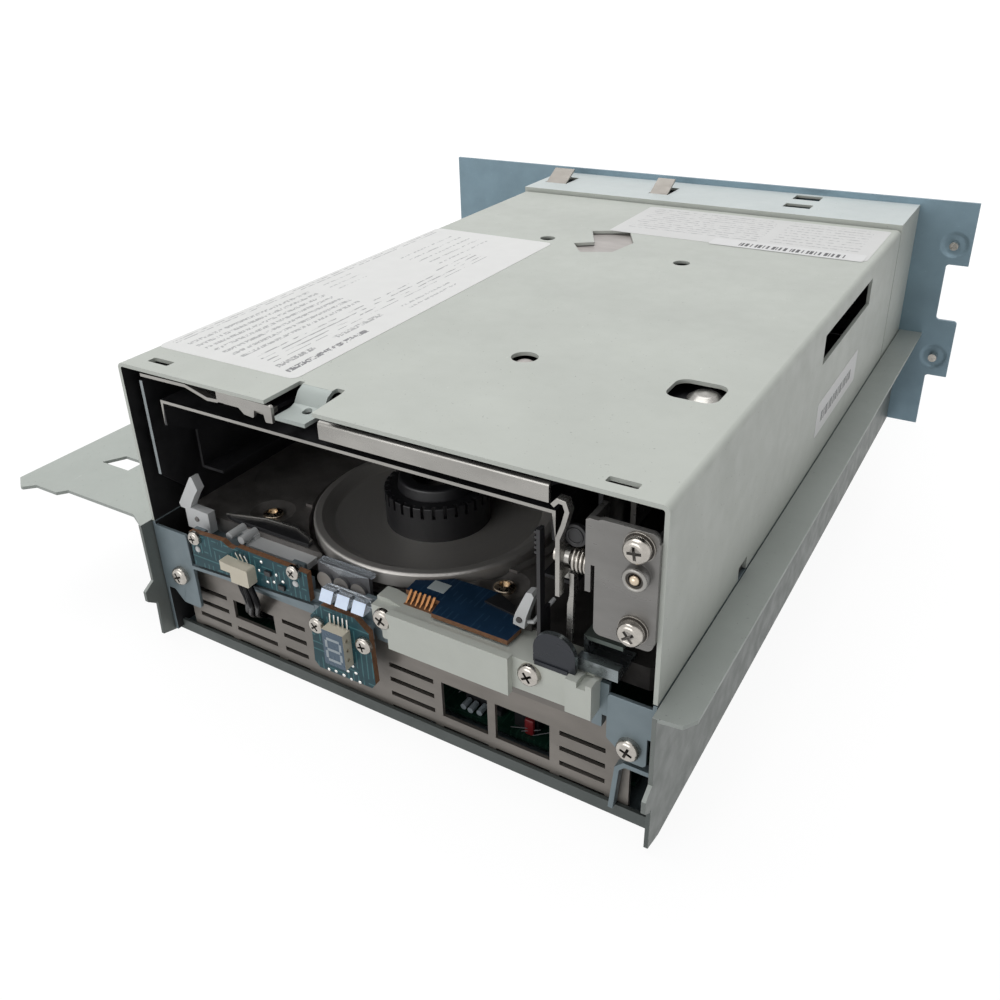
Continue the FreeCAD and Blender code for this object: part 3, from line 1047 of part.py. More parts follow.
def slider_pins():
    """Two shouldered pins riveted in the right side plate, which the cam slider runs on."""
    x = SIDE_PLATE_RIGHT + SIDE_PLATE_SHEET
    pins = []
    for y in SLIDER_PINS:
        start = at(x - 0.2, y, SLIDER_SLOT_Z)
        shoulder = at(SLIDER_X + SLIDER_SHEET + 0.3, y, SLIDER_SLOT_Z)
        pins.append(rod(SLIDER_PIN_RADIUS, start, shoulder.x + 0.1 - start.x, RIGHT))
        pins.append(rod(SLIDER_PIN_RADIUS + 1.0, shoulder, 1.0, RIGHT))
    return pins


def loader_gear():
    span = (SLIDER_X, SLIDER_X + GEAR_WIDTH)
    return toothed(GEAR_TEETH, RACK_MODULE, span, (GEAR_Y, GEAR_Z), "yz", GEAR_BORE + SHAFT_FIT)


def pinion_centre():
    reach = (GEAR_TEETH + PINION_TEETH) * RACK_MODULE / 2 + 0.15
    return GEAR_Y + reach, GEAR_Z


def loader_pinion():
    span = (SLIDER_X, SLIDER_X + GEAR_WIDTH)
    gear = toothed(PINION_TEETH, RACK_MODULE, span, pinion_centre(), "yz", 1.0)
    gear.rotate(at(0, *pinion_centre()), RIGHT, 180.0 / PINION_TEETH)
    return gear


def loader_motor():
    """Small gear motor on its own plate, with the fixed axle of the loader gear."""
    y, z = pinion_centre()
    plate_x = SLIDER_X + GEAR_WIDTH + 0.4
    body = rod(6.0, at(plate_x, y, z), 10.0, RIGHT)
    shaft = rod(1.0 - SHAFT_FIT, at(SLIDER_X - 0.4, y, z), GEAR_WIDTH + 2.0, RIGHT)
    axle = rod(GEAR_BORE, at(SIDE_PLATE_RIGHT, GEAR_Y, GEAR_Z), plate_x - SIDE_PLATE_RIGHT, RIGHT)
    plate = block((plate_x, plate_x + 1.2), (GEAR_Y - 4, y + 8), (DECK_Z[1], z + 6))
    return fuse([body, shaft, axle, plate])


def guide_bar():
    """Thin black bar with five fine teeth, which guides the cartridge's right edge."""
    bar = block(GUIDE_BAR_X, (0.2, 2.2), GUIDE_BAR_Z)
    teeth = [block((GUIDE_BAR_X[0] - 0.5, GUIDE_BAR_X[1]), (0.2, 2.0), (64.6 + 1.2 * row, 65.2 + 1.2 * row))
             for row in range(5)]
    foot = block(GUIDE_BAR_X, (0.2, 4.6), (39.6, GUIDE_BAR_Z[0]))
    base = block((GUIDE_BAR_X[0], LATCH_X + 0.6), (2.2, 6.6), (BRACKET_TOP - 0.6, 39.8))
    return fuse([bar, foot, base] + teeth)


def latch_lever():
    """S-shaped spring lever: a hooked top over the cage's corner, a sleeve, two cheeks and a tail."""
    line = [(LATCH_X - 0.6, 77.2), (LATCH_X + 0.6, 78.6), (LATCH_X + 2.0, 78.4), (LATCH_X + 2.6, 76.6),
            (LATCH_X + 1.8, 73.4), (LATCH_X + 0.6, 70.0), (LATCH_X + 0.6, 56.4)]
    y = (PIVOT_Y - 3.6, PIVOT_Y + 1.4)
    left = LATCH_X + 0.1
    right = LATCH_X + 3.0
    low, high = LATCH_CHEEK_Z
    blade = slab(strip(line, LATCH_SHEET), "xz", (y[0], y[0] + 2.2))
    ear = block((left, left + LATCH_SHEET), y, (high - 1.0, PIVOT_Z + 3.0))
    sleeve = rod(LATCH_SLEEVE_RADIUS, at(left, PIVOT_Y, PIVOT_Z), LATCH_SLEEVE_END - left, RIGHT)
    web = block((left, right), (PIVOT_Y + 0.4, y[1]), (high - 2.6, high))
    cheek = slab([(right - 1.0, high), (right, high), (right, low + 0.6), (right - 1.0, low)], "xz",
                 (PIVOT_Y - 1.0, y[1]))
    tail = slab([(right - 1.0, low + 1.0), (right - 0.1, low + 1.0), (right - 0.5, LATCH_TAIL_Z),
                 (right - 1.7, LATCH_TAIL_Z), (right - 1.6, low - 2.0)], "xz", (PIVOT_Y - 0.8, PIVOT_Y + 0.2))
    bore = rod(PIVOT_RADIUS + PIVOT_FIT, at(LATCH_X - 3, PIVOT_Y, PIVOT_Z), 12, RIGHT)
    return fuse([blade, ear, sleeve, web, cheek, tail]).cut(bore)


def pivot_pin():
    start = at(LATCH_X - 0.8, PIVOT_Y, PIVOT_Z)
    end = SIDE_BRACKET_X[0] - 0.6
    pin = rod(PIVOT_RADIUS, start, end - start.x, RIGHT)
    head = rod(2.0, at(LATCH_X - 1.2, PIVOT_Y, PIVOT_Z), 0.9, RIGHT)
    return fuse([pin, head])


def coil_spring():
    """Coil round the pivot pin, in leaning half turns, each of which starts where the last one ends."""
    left = LATCH_SLEEVE_END + 0.4 + SPRING_WIRE
    right = SIDE_BRACKET_X[0] - 2.2 - SPRING_WIRE
    step = (right - left) / (2 * SPRING_TURNS)
    halves = []
    for index in range(2 * SPRING_TURNS):
        reach = SPRING_RADIUS * (-1) ** index
        centre = at(left + (index + 0.5) * step, PIVOT_Y, PIVOT_Z)
        start = centre + at(-step / 2, reach, 0)
        section = Part.Face(Part.Wire([Part.makeCircle(SPRING_WIRE, start, UP)]))
        halves.append(section.revolve(centre, (start - centre).cross(UP) * reach, 180))
    return fuse(halves)


def side_bracket():
    y = (SIDE_BRACKET_Y, SIDE_BRACKET_Y + SIDE_BRACKET_SHEET)
    left = SIDE_BRACKET_X[0]
    plate = slab(rectangle(SIDE_BRACKET_X, SIDE_BRACKET_Z, 1.6), "xz", y)
    tab = slab([(left + 3, 77.3), (left - 2.0, 77.3, 0.8), (left - 2.0, 67.0, 0.8), (left + 3, 67.0)],
               "xz", y)
    cheek = block((left - 2.0, left - 0.8), (y[0], PIVOT_Y + 3.4), (60.6, 77.0))
    return_wall = block((SIDE_BRACKET_X[1] - 1.4, CASE_IN), (y[0], 12.0),
                        (SIDE_BRACKET_Z[0] + 2, SIDE_BRACKET_Z[1] - 2))
    stud = fuse([ring(STUD_RADIUS, 1.3, at(STUD[0], y[0] - 1.8, STUD[1]), 2.0, BACK),
                 rod(1.4, at(STUD[0], y[0] - 1.2, STUD[1]), 2.2, BACK)])
    holes = [rod(SCREW_SHANK_RADIUS, at(x, y[0] - 2, z), 5, BACK) for x, z in SIDE_BRACKET_SCREWS]
    holes.append(rod(PIVOT_RADIUS, at(left - 4, PIVOT_Y, PIVOT_Z), 6, RIGHT))
    return fuse([plate, tab, cheek, return_wall, stud]).cut(group(holes))


def washer_screws():
    """Pan-head screws with their captive spring and flat washers on the side bracket."""
    pieces = []
    for x, z in SIDE_BRACKET_SCREWS:
        seat = at(x, SIDE_BRACKET_Y, z)
        flat = rod(WASHER_RADIUS, seat, WASHER_HEIGHT * 0.7, FORWARD)
        split = rod(WASHER_RADIUS - 0.5, seat, WASHER_HEIGHT * 1.6, FORWARD)
        pieces.append(fuse([flat, split, pan_screw(seat, FORWARD, 3.4, washer=WASHER_HEIGHT * 1.6)]))
    return group(pieces)


def front_screws():
    pieces = [pan_screw(at(x, EAR_Y, z), FORWARD, 5.2) for x, z in EAR_SCREWS]
    pieces += [pan_screw(at(x, SENSOR_BOARD_Y, z), FORWARD, 3.4, head=SENSOR_SCREW_SCALE)
               for x, z in SENSOR_SCREWS]
    pieces += [pan_screw(at(x, DISPLAY_BOARD_Y, z), FORWARD, 3.2, head=DISPLAY_SCREW_SCALE)
               for x, z in DISPLAY_SCREWS]
    pieces += [pan_screw(at(x, BRACKET_Y, z), FORWARD, 4.6, head=BRACKET_SCREW_SCALE)
               for x, z in BRACKET_SCREWS]
    return group(pieces)


def sense_lever(outline, centre):
    """White finger beside the mouth that a cartridge pushes aside."""
    bore = rod(SENSE_PIN_RADIUS + SENSE_FIT, at(centre[0], SENSE_Y[0] - 1, centre[1]), 6, BACK)
    return slab(outline, "xz", SENSE_Y).cut(bore)


def sense_pins():
    """Ears and pins on the deck that carry the two sensing fingers."""
    pieces = []
    for x, z in (SENSE_LEFT, SENSE_RIGHT):
        pin = rod(SENSE_PIN_RADIUS, at(x, SENSE_Y[0] - 0.3, z), SENSE_Y[1] - SENSE_Y[0] + 1.0, BACK)
        ear = block((x - 1.5, x + 1.5), (SENSE_Y[1] + 0.3, DECK_FRONT + 0.8), (DECK_Z[1] - 0.5, z + 1.4))
        pieces += [pin, ear]
    return pieces


def front_rail():
    lower = block(RAIL_X, RAIL_Y, (39.0, 42.0))
    upper = block((RAIL_X[0], RAIL_X[1] - 0.6), (RAIL_Y[1] + 1.0, DECK_FRONT + 2.0), (44.4, 45.4))
    web = block(RAIL_X, (RAIL_Y[1] + 0.0, DECK_FRONT + 2.0), (DECK_Z[1], 40.0))
    riser = block((RAIL_X[0], RAIL_X[0] + 1.0), (RAIL_Y[1] + 1.0, DECK_FRONT + 2.0), (39.5, 45.4))
    return fuse([lower, upper, web, riser])


def rail_tab():
    tab = slab([(TAB_X[0], 39.0), (TAB_X[1], 39.0), (TAB_X[1], TAB_TOP, TAB_CORNER),
                (TAB_X[0], TAB_TOP, TAB_CORNER)], "xz", (-1.6, -0.4))
    lip = block((TAB_X[0] + 0.4, TAB_X[1] - 1.6), (-1.9, 0.1), (BRACKET_TOP - 0.6, 39.4))
    return fuse([tab, lip])


def wire_guide():
    """White bar with two round pegs, clipped to the front edge of the deck."""
    bar = block((-42.0, -21.8), (3.6, DECK_FRONT), (35.6, 37.4))
    pegs = [rod(1.1, at(x, 2.6, 38.9), DECK_FRONT - 2.6, BACK) for x in (-46.6, -42.4)]
    link = block((-47.4, -41.0), (6.0, DECK_FRONT), (35.6, 38.6))
    return fuse([bar, link] + pegs)


def cover_posts():
    """Hollow boss under the round cover hole and the domed button under the rounded one."""
    low = FRAME_Z + FRAME_SHEET
    post = ring(2.5, 1.2, at(*POST_HOLE, low), 1.8)
    foot = ring(6.2, 1.2, at(*POST_HOLE, low), 0.6)
    dome = turned([(0, low), (DOME_RADIUS, low), (DOME_RADIUS, low + 0.8, 0.4),
                   (DOME_RADIUS * 0.6, low + 2.0, 1.0),
                   (0, low + 2.4)], DOME)
    return group([fuse([post, foot]), dome])


# ---------------------------------------------------------------- rear box contents
def card_posts():
    return [rod(3.0, at(x, y, TRAY_SHEET - 0.2), CARD_Z - TRAY_SHEET + 0.2)
            for x in (-54, 54) for y in (BOX_FRONT + 8, PLATE_FRONT - 8)]


def interface_board():
    """Board across the rear box, with the plug that reaches into the drive."""
    board = block((-60, 60), (BOX_FRONT + 3, PLATE_FRONT - 0.4), (CARD_Z, CARD_Z + BOARD_SHEET))
    plug = block((-10, 40), (DRIVE_DEPTH - 8, BOX_FRONT + 9),
                 (CARD_Z + BOARD_SHEET, CARD_Z + BOARD_SHEET + 4))
    return group([board, plug])


def rear_ports():
    ports = []
    for index in range(2):
        centre = PORT_X + index * PORT_PITCH
        x = (centre - PORT_WIDTH / 2, centre + PORT_WIDTH / 2)
        z = (PORT_Z, PORT_Z + PORT_HEIGHT)
        y = (PLATE_FRONT + PLATE_SHEET + 0.4 - PORT_DEPTH, PLATE_FRONT + PLATE_SHEET + 0.4)
        shell = block(x, y, z)
        hollow = block((x[0] + PORT_WALL, x[1] - PORT_WALL), (y[0] + 3, y[1] + 1),
                       (z[0] + PORT_WALL, z[1] - PORT_WALL))
        feet = block((x[0] + 2, x[1] - 2), (y[0] + 2, y[0] + 12), (CARD_Z + BOARD_SHEET, z[0]))
        ports.append(fuse([shell.cut(hollow), feet]))
    return group(ports)


def fan_frame():
    half = FAN_SIZE / 2
    reach = FAN_BORE + 0.4
    y = (PLATE_FRONT - FAN_DEPTH, PLATE_FRONT)
    arm_y = (y[1] - 3, y[1] - 1.4)
    frame = slab(rectangle((FAN_X - half, FAN_X + half), (FAN_Z - half, FAN_Z + half), 3), "xz", y)
    frame = frame.cut(rod(FAN_BORE, at(FAN_X, y[0] - 1, FAN_Z), FAN_DEPTH + 2, BACK))
    arms = [block((FAN_X - reach, FAN_X + reach), arm_y, (FAN_Z - 1, FAN_Z + 1)),
            block((FAN_X - 1, FAN_X + 1), arm_y, (FAN_Z - reach, FAN_Z + reach)),
            rod(7.0, at(FAN_X, arm_y[0], FAN_Z), 1.6, BACK)]
    shaft = rod(1.5, at(FAN_X, y[0] + 3, FAN_Z), FAN_DEPTH - 5, BACK)
    screws = [rod(1.6, at(FAN_X + a * 16, y[0] - 1, FAN_Z + b * 16), FAN_DEPTH + 2, BACK)
              for a in (-1, 1) for b in (-1, 1)]
    return fuse([frame, shaft] + arms).cut(group(screws))


def fan_rotor():
    y = PLATE_FRONT - FAN_DEPTH
    hub = rod(FAN_HUB_RADIUS, at(FAN_X, y + 1.5, FAN_Z), FAN_DEPTH - 5.0, BACK)
    blades = []
    for index in range(FAN_BLADES):
        blade = block((FAN_HUB_RADIUS - 0.6, FAN_BORE - 0.8), (y + 2.0, y + 9.0), (-0.6, 0.6))
        blade.rotate(at(0, y + 5.5, 0), RIGHT, 38)
        blade.rotate(at(0, 0, 0), BACK, 360.0 * index / FAN_BLADES)
        blade.translate(at(FAN_X, 0, FAN_Z))
        blades.append(blade)
    return fuse([hub] + blades).cut(rod(1.5 + SHAFT_FIT, at(FAN_X, y, FAN_Z), 20, BACK))


def build():
    pieces = [carrier_tray, rear_plate, rear_box, top_cover, lower_chassis, grille_plate, main_board,
              board_components, board_carrier, sensor_board, sensor_connector, sensor_cable, display_board,
              seven_segment_block, light_pipes, front_bracket, contact_board, deck_frame, deck_screws,
              reel_motor_stator, reel_rotor, clutch_gear, take_up_stator, take_up_reel, tape_path_posts,
              head_yoke, head_carriage, threader_arm, loader_cage, upper_frame, mouth_lip,
              loader_side_left, loader_side_right, cam_slider, loader_gear, loader_pinion,
              loader_motor, guide_bar, latch_lever, pivot_pin, coil_spring, side_bracket, washer_screws,
              front_screws, front_rail, rail_tab, wire_guide, cover_posts, interface_board, rear_ports,
              fan_frame, fan_rotor]
    for piece in pieces:
        export(piece.__name__, piece())
    for number, centre in enumerate(ROLLERS, start=1):
        export("guide_roller_%d" % number, guide_roller(centre))
    export("captive_screw_lower", captive_screw(captive_heights()[0]))
    export("captive_screw_upper", captive_screw(captive_heights()[1]))
    export("sense_lever_left", sense_lever(SENSE_LEFT_FINGER, SENSE_LEFT))
    export("sense_lever_right", sense_lever(SENSE_RIGHT_FINGER, SENSE_RIGHT))


build()
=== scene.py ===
"""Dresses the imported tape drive.

Its sheet metal, boards and mouldings get their finishes, and the small pieces that they carry are added.
Places are in millimetres in the part's own frame: X right, Y back from the drive's front, Z up from the
floor.
"""
import json
import math

import bpy
from mathutils import Matrix, Vector


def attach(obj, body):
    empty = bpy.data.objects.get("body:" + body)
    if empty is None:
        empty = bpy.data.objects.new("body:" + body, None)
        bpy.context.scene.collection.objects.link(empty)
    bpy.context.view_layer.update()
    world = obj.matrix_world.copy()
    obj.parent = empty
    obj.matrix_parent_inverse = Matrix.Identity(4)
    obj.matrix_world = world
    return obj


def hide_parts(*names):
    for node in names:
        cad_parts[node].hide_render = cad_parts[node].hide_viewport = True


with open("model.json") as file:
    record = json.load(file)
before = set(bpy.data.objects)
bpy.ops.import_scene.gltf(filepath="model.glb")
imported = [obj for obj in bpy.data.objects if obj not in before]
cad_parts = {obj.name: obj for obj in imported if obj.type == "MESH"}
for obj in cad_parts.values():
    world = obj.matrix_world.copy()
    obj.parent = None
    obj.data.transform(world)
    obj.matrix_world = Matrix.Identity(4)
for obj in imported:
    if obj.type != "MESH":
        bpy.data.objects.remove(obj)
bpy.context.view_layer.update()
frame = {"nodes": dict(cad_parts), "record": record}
MM = 0.001
UP = Vector((0, 0, 1))
FRONT = Vector((0, -1, 0))
CHASSIS = "chassis"

# ------------------------------------------------------------------ places shared with the construction
COVER_TOP = 83.5
SIDE_OUT = 73.0
EAR_SCREWS = ((-65.1, 22.3), (67.4, 23.6))
EAR_Y = 0.0
SENSOR_Y = -0.6
SENSOR_SCREWS = ((-55.7, 37.6), (-21.6, 38.3))
DISPLAY_Y = -2.4
DISPLAY_SCREWS = ((-14.1, 26.5), (0.2, 25.8))
BRACKET_Y = -2.0
BRACKET_SCREWS = ((6.7, 35.9), (45.1, 35.6))
SIDE_BRACKET_Y = -1.2
SIDE_BRACKET_SCREWS = ((68.1, 74.4), (67.6, 55.3))
STUD = (68.0, 67.9)
DIGIT_X = (-10.5, -4.1)
DIGIT_Z = (18.0, 28.4)
DIGIT_FRONT = -5.4
PIPE_X = -11.9
PIPE_WIDTH = 3.7
PIPE_PITCH = 4.85
PIPE_Z = (35.0, 37.7)
PIPE_Y = (-3.4, -1.9)
CONTACT_TOP = 40.2
DECK_TOP = 39.0
BOARD_TOP = 5.6
FRAME_TOP = 79.7
POST = (15.5, 49.2)
STEP_CUT = ((-19.6, 144.6), (-13.9, 148.5), (-20.7, 161.1), (-9.2, 167.0), (-1.7, 153.1), (-3.6, 140.5),
            (-13.0, 136.0))
REEL = (-6.0, 39.5)

# ------------------------------------------------------------------ limits between two finishes on one node, and of painted shade and light
# Inner limit of the painted shade inside the cover
COVER_INSIDE = 72.05
TONGUE_X = (-22.6, -13.1)
TONGUE_BACK = 13.0
BOX_TOP_LEVEL = 85.3
PIPE_BACK = 1.9
DISC_X, DISC_Z, DISC_PITCH, DISC_RADIUS = -14.6, 36.4, 5.2, 2.32

# ------------------------------------------------------------------ sizes and places of the small pieces
HEAD_RADIUS, HEAD_HEIGHT, WASHER = 2.7, 1.9, 1.1
RECESS_RADIUS, RECESS_DEPTH = 1.5, 1.62
PAPER = 0.1
PRINT_DEPTH = 0.03
CONTACTS = (9.6, 10.9, 12.2, 13.5, 14.8, 16.1)
LATCH_BOSS = (53.2, 70.2)
SOLDER_RADIUS = 0.42
PIN_RADIUS = 0.24


# ------------------------------------------------------------------ finishes
class Finish:
    """A material on the Principled shader, with short calls for the nodes that feed it."""

    def __init__(self, name, colour, roughness, metallic=0.0):
        self.material = bpy.data.materials.new(name)
        self.material.use_nodes = True
        self.tree = self.material.node_tree
        self.shader = self.tree.nodes["Principled BSDF"]
        self.colour = colour
        self.shader.inputs["Base Color"].default_value = (*colour, 1)
        self.shader.inputs["Roughness"].default_value = roughness
        self.shader.inputs["Metallic"].default_value = metallic
        self.roughness = roughness
        self.place = self.add("ShaderNodeTexCoord").outputs["Object"]
        self.height = None

    def add(self, kind, **settings):
        node = self.tree.nodes.new(kind)
        for key, value in settings.items():
            setattr(node, key, value)
        return node

    def link(self, source, target):
        self.tree.links.new(source, target)

    def noise(self, size_mm, detail=3.0, stretch=(1, 1, 1)):
        """Noise with features of about that size; stretch lengthens them along an axis."""
        mapping = self.add("ShaderNodeMapping")
        for axis in range(3):
            mapping.inputs["Scale"].default_value[axis] = 1 / (size_mm * MM * stretch[axis])
        self.link(self.place, mapping.inputs["Vector"])
        noise = self.add("ShaderNodeTexNoise")
        noise.inputs["Scale"].default_value = 1.0
        noise.inputs["Detail"].default_value = detail
        noise.inputs["Roughness"].default_value = 0.55
        self.link(mapping.outputs["Vector"], noise.inputs["Vector"])
        return noise.outputs["Fac"]

    def span(self, value, low, high, out_low=0.0, out_high=1.0):
        node = self.add("ShaderNodeMapRange")
        for key, number in (("From Min", low), ("From Max", high), ("To Min", out_low), ("To Max", out_high)):
            node.inputs[key].default_value = number
        self.link(value, node.inputs["Value"])
        return node.outputs["Result"]

    def maths(self, operation, first, second):
        node = self.add("ShaderNodeMath", operation=operation)
        for socket, value in zip(node.inputs, (first, second)):
            if isinstance(value, (int, float)):
                socket.default_value = value
            else:
                self.link(value, socket)
        return node.outputs["Value"]

    def colour_of(self):
        links = self.shader.inputs["Base Color"].links
        return links[0].from_socket if links else None

    def tint(self, mask, colour):
        """Lays a colour over the base where the mask is 1."""
        mix = self.add("ShaderNodeMix", data_type="RGBA")
        under = self.colour_of()
        if under:
            self.link(under, mix.inputs["A"])
        else:
            mix.inputs["A"].default_value = (*self.colour, 1)
        mix.inputs["B"].default_value = (*colour, 1)
        self.link(mask, mix.inputs["Factor"])
        self.link(mix.outputs["Result"], self.shader.inputs["Base Color"])
        return self

    def mottle(self, size_mm, depth, stretch=(1, 1, 1)):
        """Lighter and darker cloudiness of the base colour."""
        cloud = self.noise(size_mm, 4.0, stretch)
        lighter = tuple(min(1.0, channel * (1 + depth)) for channel in self.colour)
        darker = tuple(channel * (1 - depth) for channel in self.colour)
        self.tint(self.span(cloud, 0.50, 0.72), lighter)
        self.tint(self.span(cloud, 0.50, 0.28), darker)
        return self

    def specks(self, size_mm, level, colour, stretch=(1, 1, 1)):
        """Small spots or scratches where fine noise passes a level."""
        grain = self.noise(size_mm, 2.0, stretch)
        self.tint(self.span(grain, level, level + 0.025), colour)
        return self

    def rough(self, size_mm, spread, stretch=(1, 1, 1)):
        """Varies the roughness about its own value."""
        cloud = self.noise(size_mm, 3.0, stretch)
        low, high = max(0.02, self.roughness - spread), min(1.0, self.roughness + spread)
        self.link(self.span(cloud, 0.35, 0.65, low, high), self.shader.inputs["Roughness"])
        return self

    def bump(self, height, distance_mm, strength=1.0):
        node = self.add("ShaderNodeBump")
        node.inputs["Distance"].default_value = distance_mm * MM
        node.inputs["Strength"].default_value = strength
        self.link(height, node.inputs["Height"])
        if self.height:
            self.link(self.height, node.inputs["Normal"])
        self.height = node.outputs["Normal"]
        self.link(self.height, self.shader.inputs["Normal"])
        return self

    def axis(self, index):
        """One coordinate of the surface point, in millimetres."""
        split = self.add("ShaderNodeSeparateXYZ")
        self.link(self.place, split.inputs["Vector"])
        return self.maths("MULTIPLY", split.outputs[index], 1 / MM)

    def between(self, value, low, high):
        """1 between two limits of a value."""
        above = self.maths("GREATER_THAN", value, low)
        return self.maths("MULTIPLY", above, self.maths("LESS_THAN", value, high))

    def stripe(self, value, pitch, width, offset=0.0):
        """1 on stripes of that width, repeated at the pitch along a value."""
        shifted = self.maths("ADD", value, -offset)
        turn = self.maths("FLOORED_MODULO", shifted, pitch)
        return self.maths("LESS_THAN", turn, width)


def rolled_sheet(name, colour, roughness, metallic):
    """Rolled and coated sheet: soft mottling, fine grain, a few specks and rubbed lines."""
    sheet = Finish(name, colour, roughness, metallic)
    pale = tuple(min(1.0, channel * 1.25 + 0.02) for channel in colour)
    dull = tuple(channel * 0.62 for channel in colour)
    sheet.mottle(26.0, 0.05).specks(0.7, 0.72, dull).specks(0.45, 0.76, pale, (1, 9, 1))
    sheet.specks(0.5, 0.775, dull, (14, 1, 1))
    sheet.rough(5.0, 0.07)
    sheet.bump(sheet.noise(0.35, 2.0), 0.012, 0.5)
    return sheet.material


def cover_steel():
    return rolled_sheet("cover_steel", (0.522, 0.546, 0.503), 0.5, 0.1)


def carrier_steel():
    return rolled_sheet("carrier_steel", (0.33, 0.355, 0.335), 0.5, 0.2)


def plate_zinc(name="plate_zinc", colour=(0.215, 0.31, 0.37), bar=None):
    """Blue passivated zinc of the plate and the front ears, with one bar of it left in another colour."""
    sheet = Finish(name, colour, 0.42, 0.4)
    sheet.mottle(14.0, 0.10).specks(0.6, 0.73, tuple(channel * 1.6 for channel in colour))
    sheet.specks(0.5, 0.75, tuple(channel * 0.65 for channel in colour), (1, 1, 8))
    if bar:
        across = sheet.between(sheet.axis(0), *bar[0])
        sheet.tint(sheet.maths("MULTIPLY", across, sheet.between(sheet.axis(2), *bar[1])), bar[2])
    sheet.rough(4.0, 0.08)
    sheet.bump(sheet.noise(0.4, 2.0), 0.015, 0.5)
    return sheet.material


def nickel(name="nickel_sheet", colour=(0.30, 0.285, 0.265), roughness=0.36, metallic=0.6):
    """Nickel plated sheet with soft warm streaks."""
    sheet = Finish(name, colour, roughness, metallic)
    sheet.mottle(9.0, 0.16, (2.4, 1, 1)).specks(0.6, 0.73, tuple(channel * 0.6 for channel in colour))
    sheet.rough(3.0, 0.10, (3, 1, 1))
    sheet.bump(sheet.noise(0.5, 2.0, (3, 1, 1)), 0.012, 0.6)
    return sheet.material


def bright_screw():
    head = Finish("bright_screw", (0.44, 0.415, 0.38), 0.24, 1.0)
    head.mottle(1.6, 0.12).rough(1.0, 0.08)
    head.bump(head.noise(0.25, 2.0), 0.01, 0.5)
    return head.material


def brass_screw():
    head = Finish("brass_screw", (0.60, 0.50, 0.38), 0.28, 1.0)
    head.mottle(2.0, 0.18).rough(1.0, 0.08)
    head.bump(head.noise(0.3, 2.0), 0.012, 0.5)
    return head.material


def black_sheet(name="black_sheet", colour=(0.020, 0.020, 0.022), roughness=0.42):
    sheet = Finish(name, colour, roughness, 0.2)
    sheet.mottle(12.0, 0.25).specks(0.6, 0.74, tuple(channel * 4 for channel in colour), (1, 6, 1))
    sheet.rough(4.0, 0.10)
    sheet.bump(sheet.noise(0.4, 2.0), 0.015, 0.6)
    return sheet.material


def deck_casting():
    """Dark die-cast deck with a fine sandy skin, darkened towards its right end by painted shade."""
    cast = Finish("deck_casting", (0.24, 0.225, 0.215), 0.42, 0.6)
    cast.mottle(8.0, 0.28).specks(0.5, 0.73, (0.12, 0.115, 0.11)).rough(3.0, 0.12)
    # Painted shade: darker towards the right end of the deck, from x 32 to 44 mm
    cast.tint(cast.span(cast.axis(0), 32.0, 44.0, 0.0, 0.85), (0.05, 0.047, 0.045))
    cast.bump(cast.noise(0.6, 3.0), 0.05, 0.7)
    return cast.material


def turned_steel():
    """Turned metal with a satin skin and hardly visible rings about the reel's axis."""
    steel = Finish("turned_steel", (0.52, 0.50, 0.475), 0.42, 0.6)
    mapping = steel.add("ShaderNodeMapping")
    mapping.inputs["Location"].default_value = (-REEL[0] * MM, -REEL[1] * MM, 0)
    steel.link(steel.place, mapping.inputs["Vector"])
    length = steel.add("ShaderNodeVectorMath", operation="LENGTH")
    flat = steel.add("ShaderNodeVectorMath", operation="MULTIPLY")
    flat.inputs[1].default_value = (1, 1, 0)
    steel.link(mapping.outputs["Vector"], flat.inputs[0])
    steel.link(flat.outputs["Vector"], length.inputs[0])
    rings = steel.add("ShaderNodeTexNoise", noise_dimensions="1D")
    rings.inputs["Scale"].default_value = 2600.0
    rings.inputs["Detail"].default_value = 3.0
    steel.link(length.outputs["Value"], rings.inputs["W"])
    steel.tint(steel.span(rings.outputs["Fac"], 0.45, 0.75, 0.0, 0.3), (0.66, 0.64, 0.61))
    steel.link(steel.span(rings.outputs["Fac"], 0.3, 0.7, 0.38, 0.46), steel.shader.inputs["Roughness"])
    steel.bump(rings.outputs["Fac"], 0.003, 0.3)
    return steel.material


def moulding(name, colour, roughness=0.42):
    """Moulded plastic with a fine spark-eroded skin."""
    plastic = Finish(name, colour, roughness)
    plastic.mottle(10.0, 0.04).rough(3.0, 0.06)
    plastic.bump(plastic.noise(0.35, 2.0), 0.012, 0.5)
    return plastic.material


def clear_moulding():
    clear = Finish("clear_moulding", (0.78, 0.83, 0.88), 0.12)
    clear.shader.inputs["Transmission Weight"].default_value = 0.75
    clear.shader.inputs["IOR"].default_value = 1.49
    clear.rough(2.0, 0.05)
    clear.bump(clear.noise(1.2, 2.0), 0.02, 0.5)
    return clear.material


def pipe_face_painted_glow():
    """Pale end of a light guide, with a faint painted glow of its own."""
    face = Finish("pipe_face_painted_glow", (0.70, 0.80, 0.95), 0.32)
    face.mottle(2.0, 0.05)
    # Painted light: a faint glow, with no lamp behind it
    face.shader.inputs["Emission Color"].default_value = (0.62, 0.74, 0.95, 1)
    face.shader.inputs["Emission Strength"].default_value = 0.12
    return face.material


def circuit_board(name, colour, copper):
    """Lacquered board with faint tracks under the lacquer."""
    pitch = 1.6
    board = Finish(name, colour, 0.34)
    board.shader.inputs["Specular IOR Level"].default_value = 0.22
    board.mottle(5.0, 0.18)
    across = board.stripe(board.axis(0), pitch, pitch * 0.22)
    along = board.stripe(board.axis(2), pitch * 1.4, pitch * 0.25)
    patch = board.span(board.noise(3.4, 0.0), 0.50, 0.52)
    other = board.span(board.noise(3.4, 0.0), 0.44, 0.42)
    tracks = board.maths("ADD", board.maths("MULTIPLY", across, patch), board.maths("MULTIPLY", along, other))
    board.tint(board.maths("MULTIPLY", tracks, 0.45), copper)
    board.rough(2.0, 0.05)
    board.bump(board.noise(0.5, 1.0), 0.01, 0.4)
    return board.material


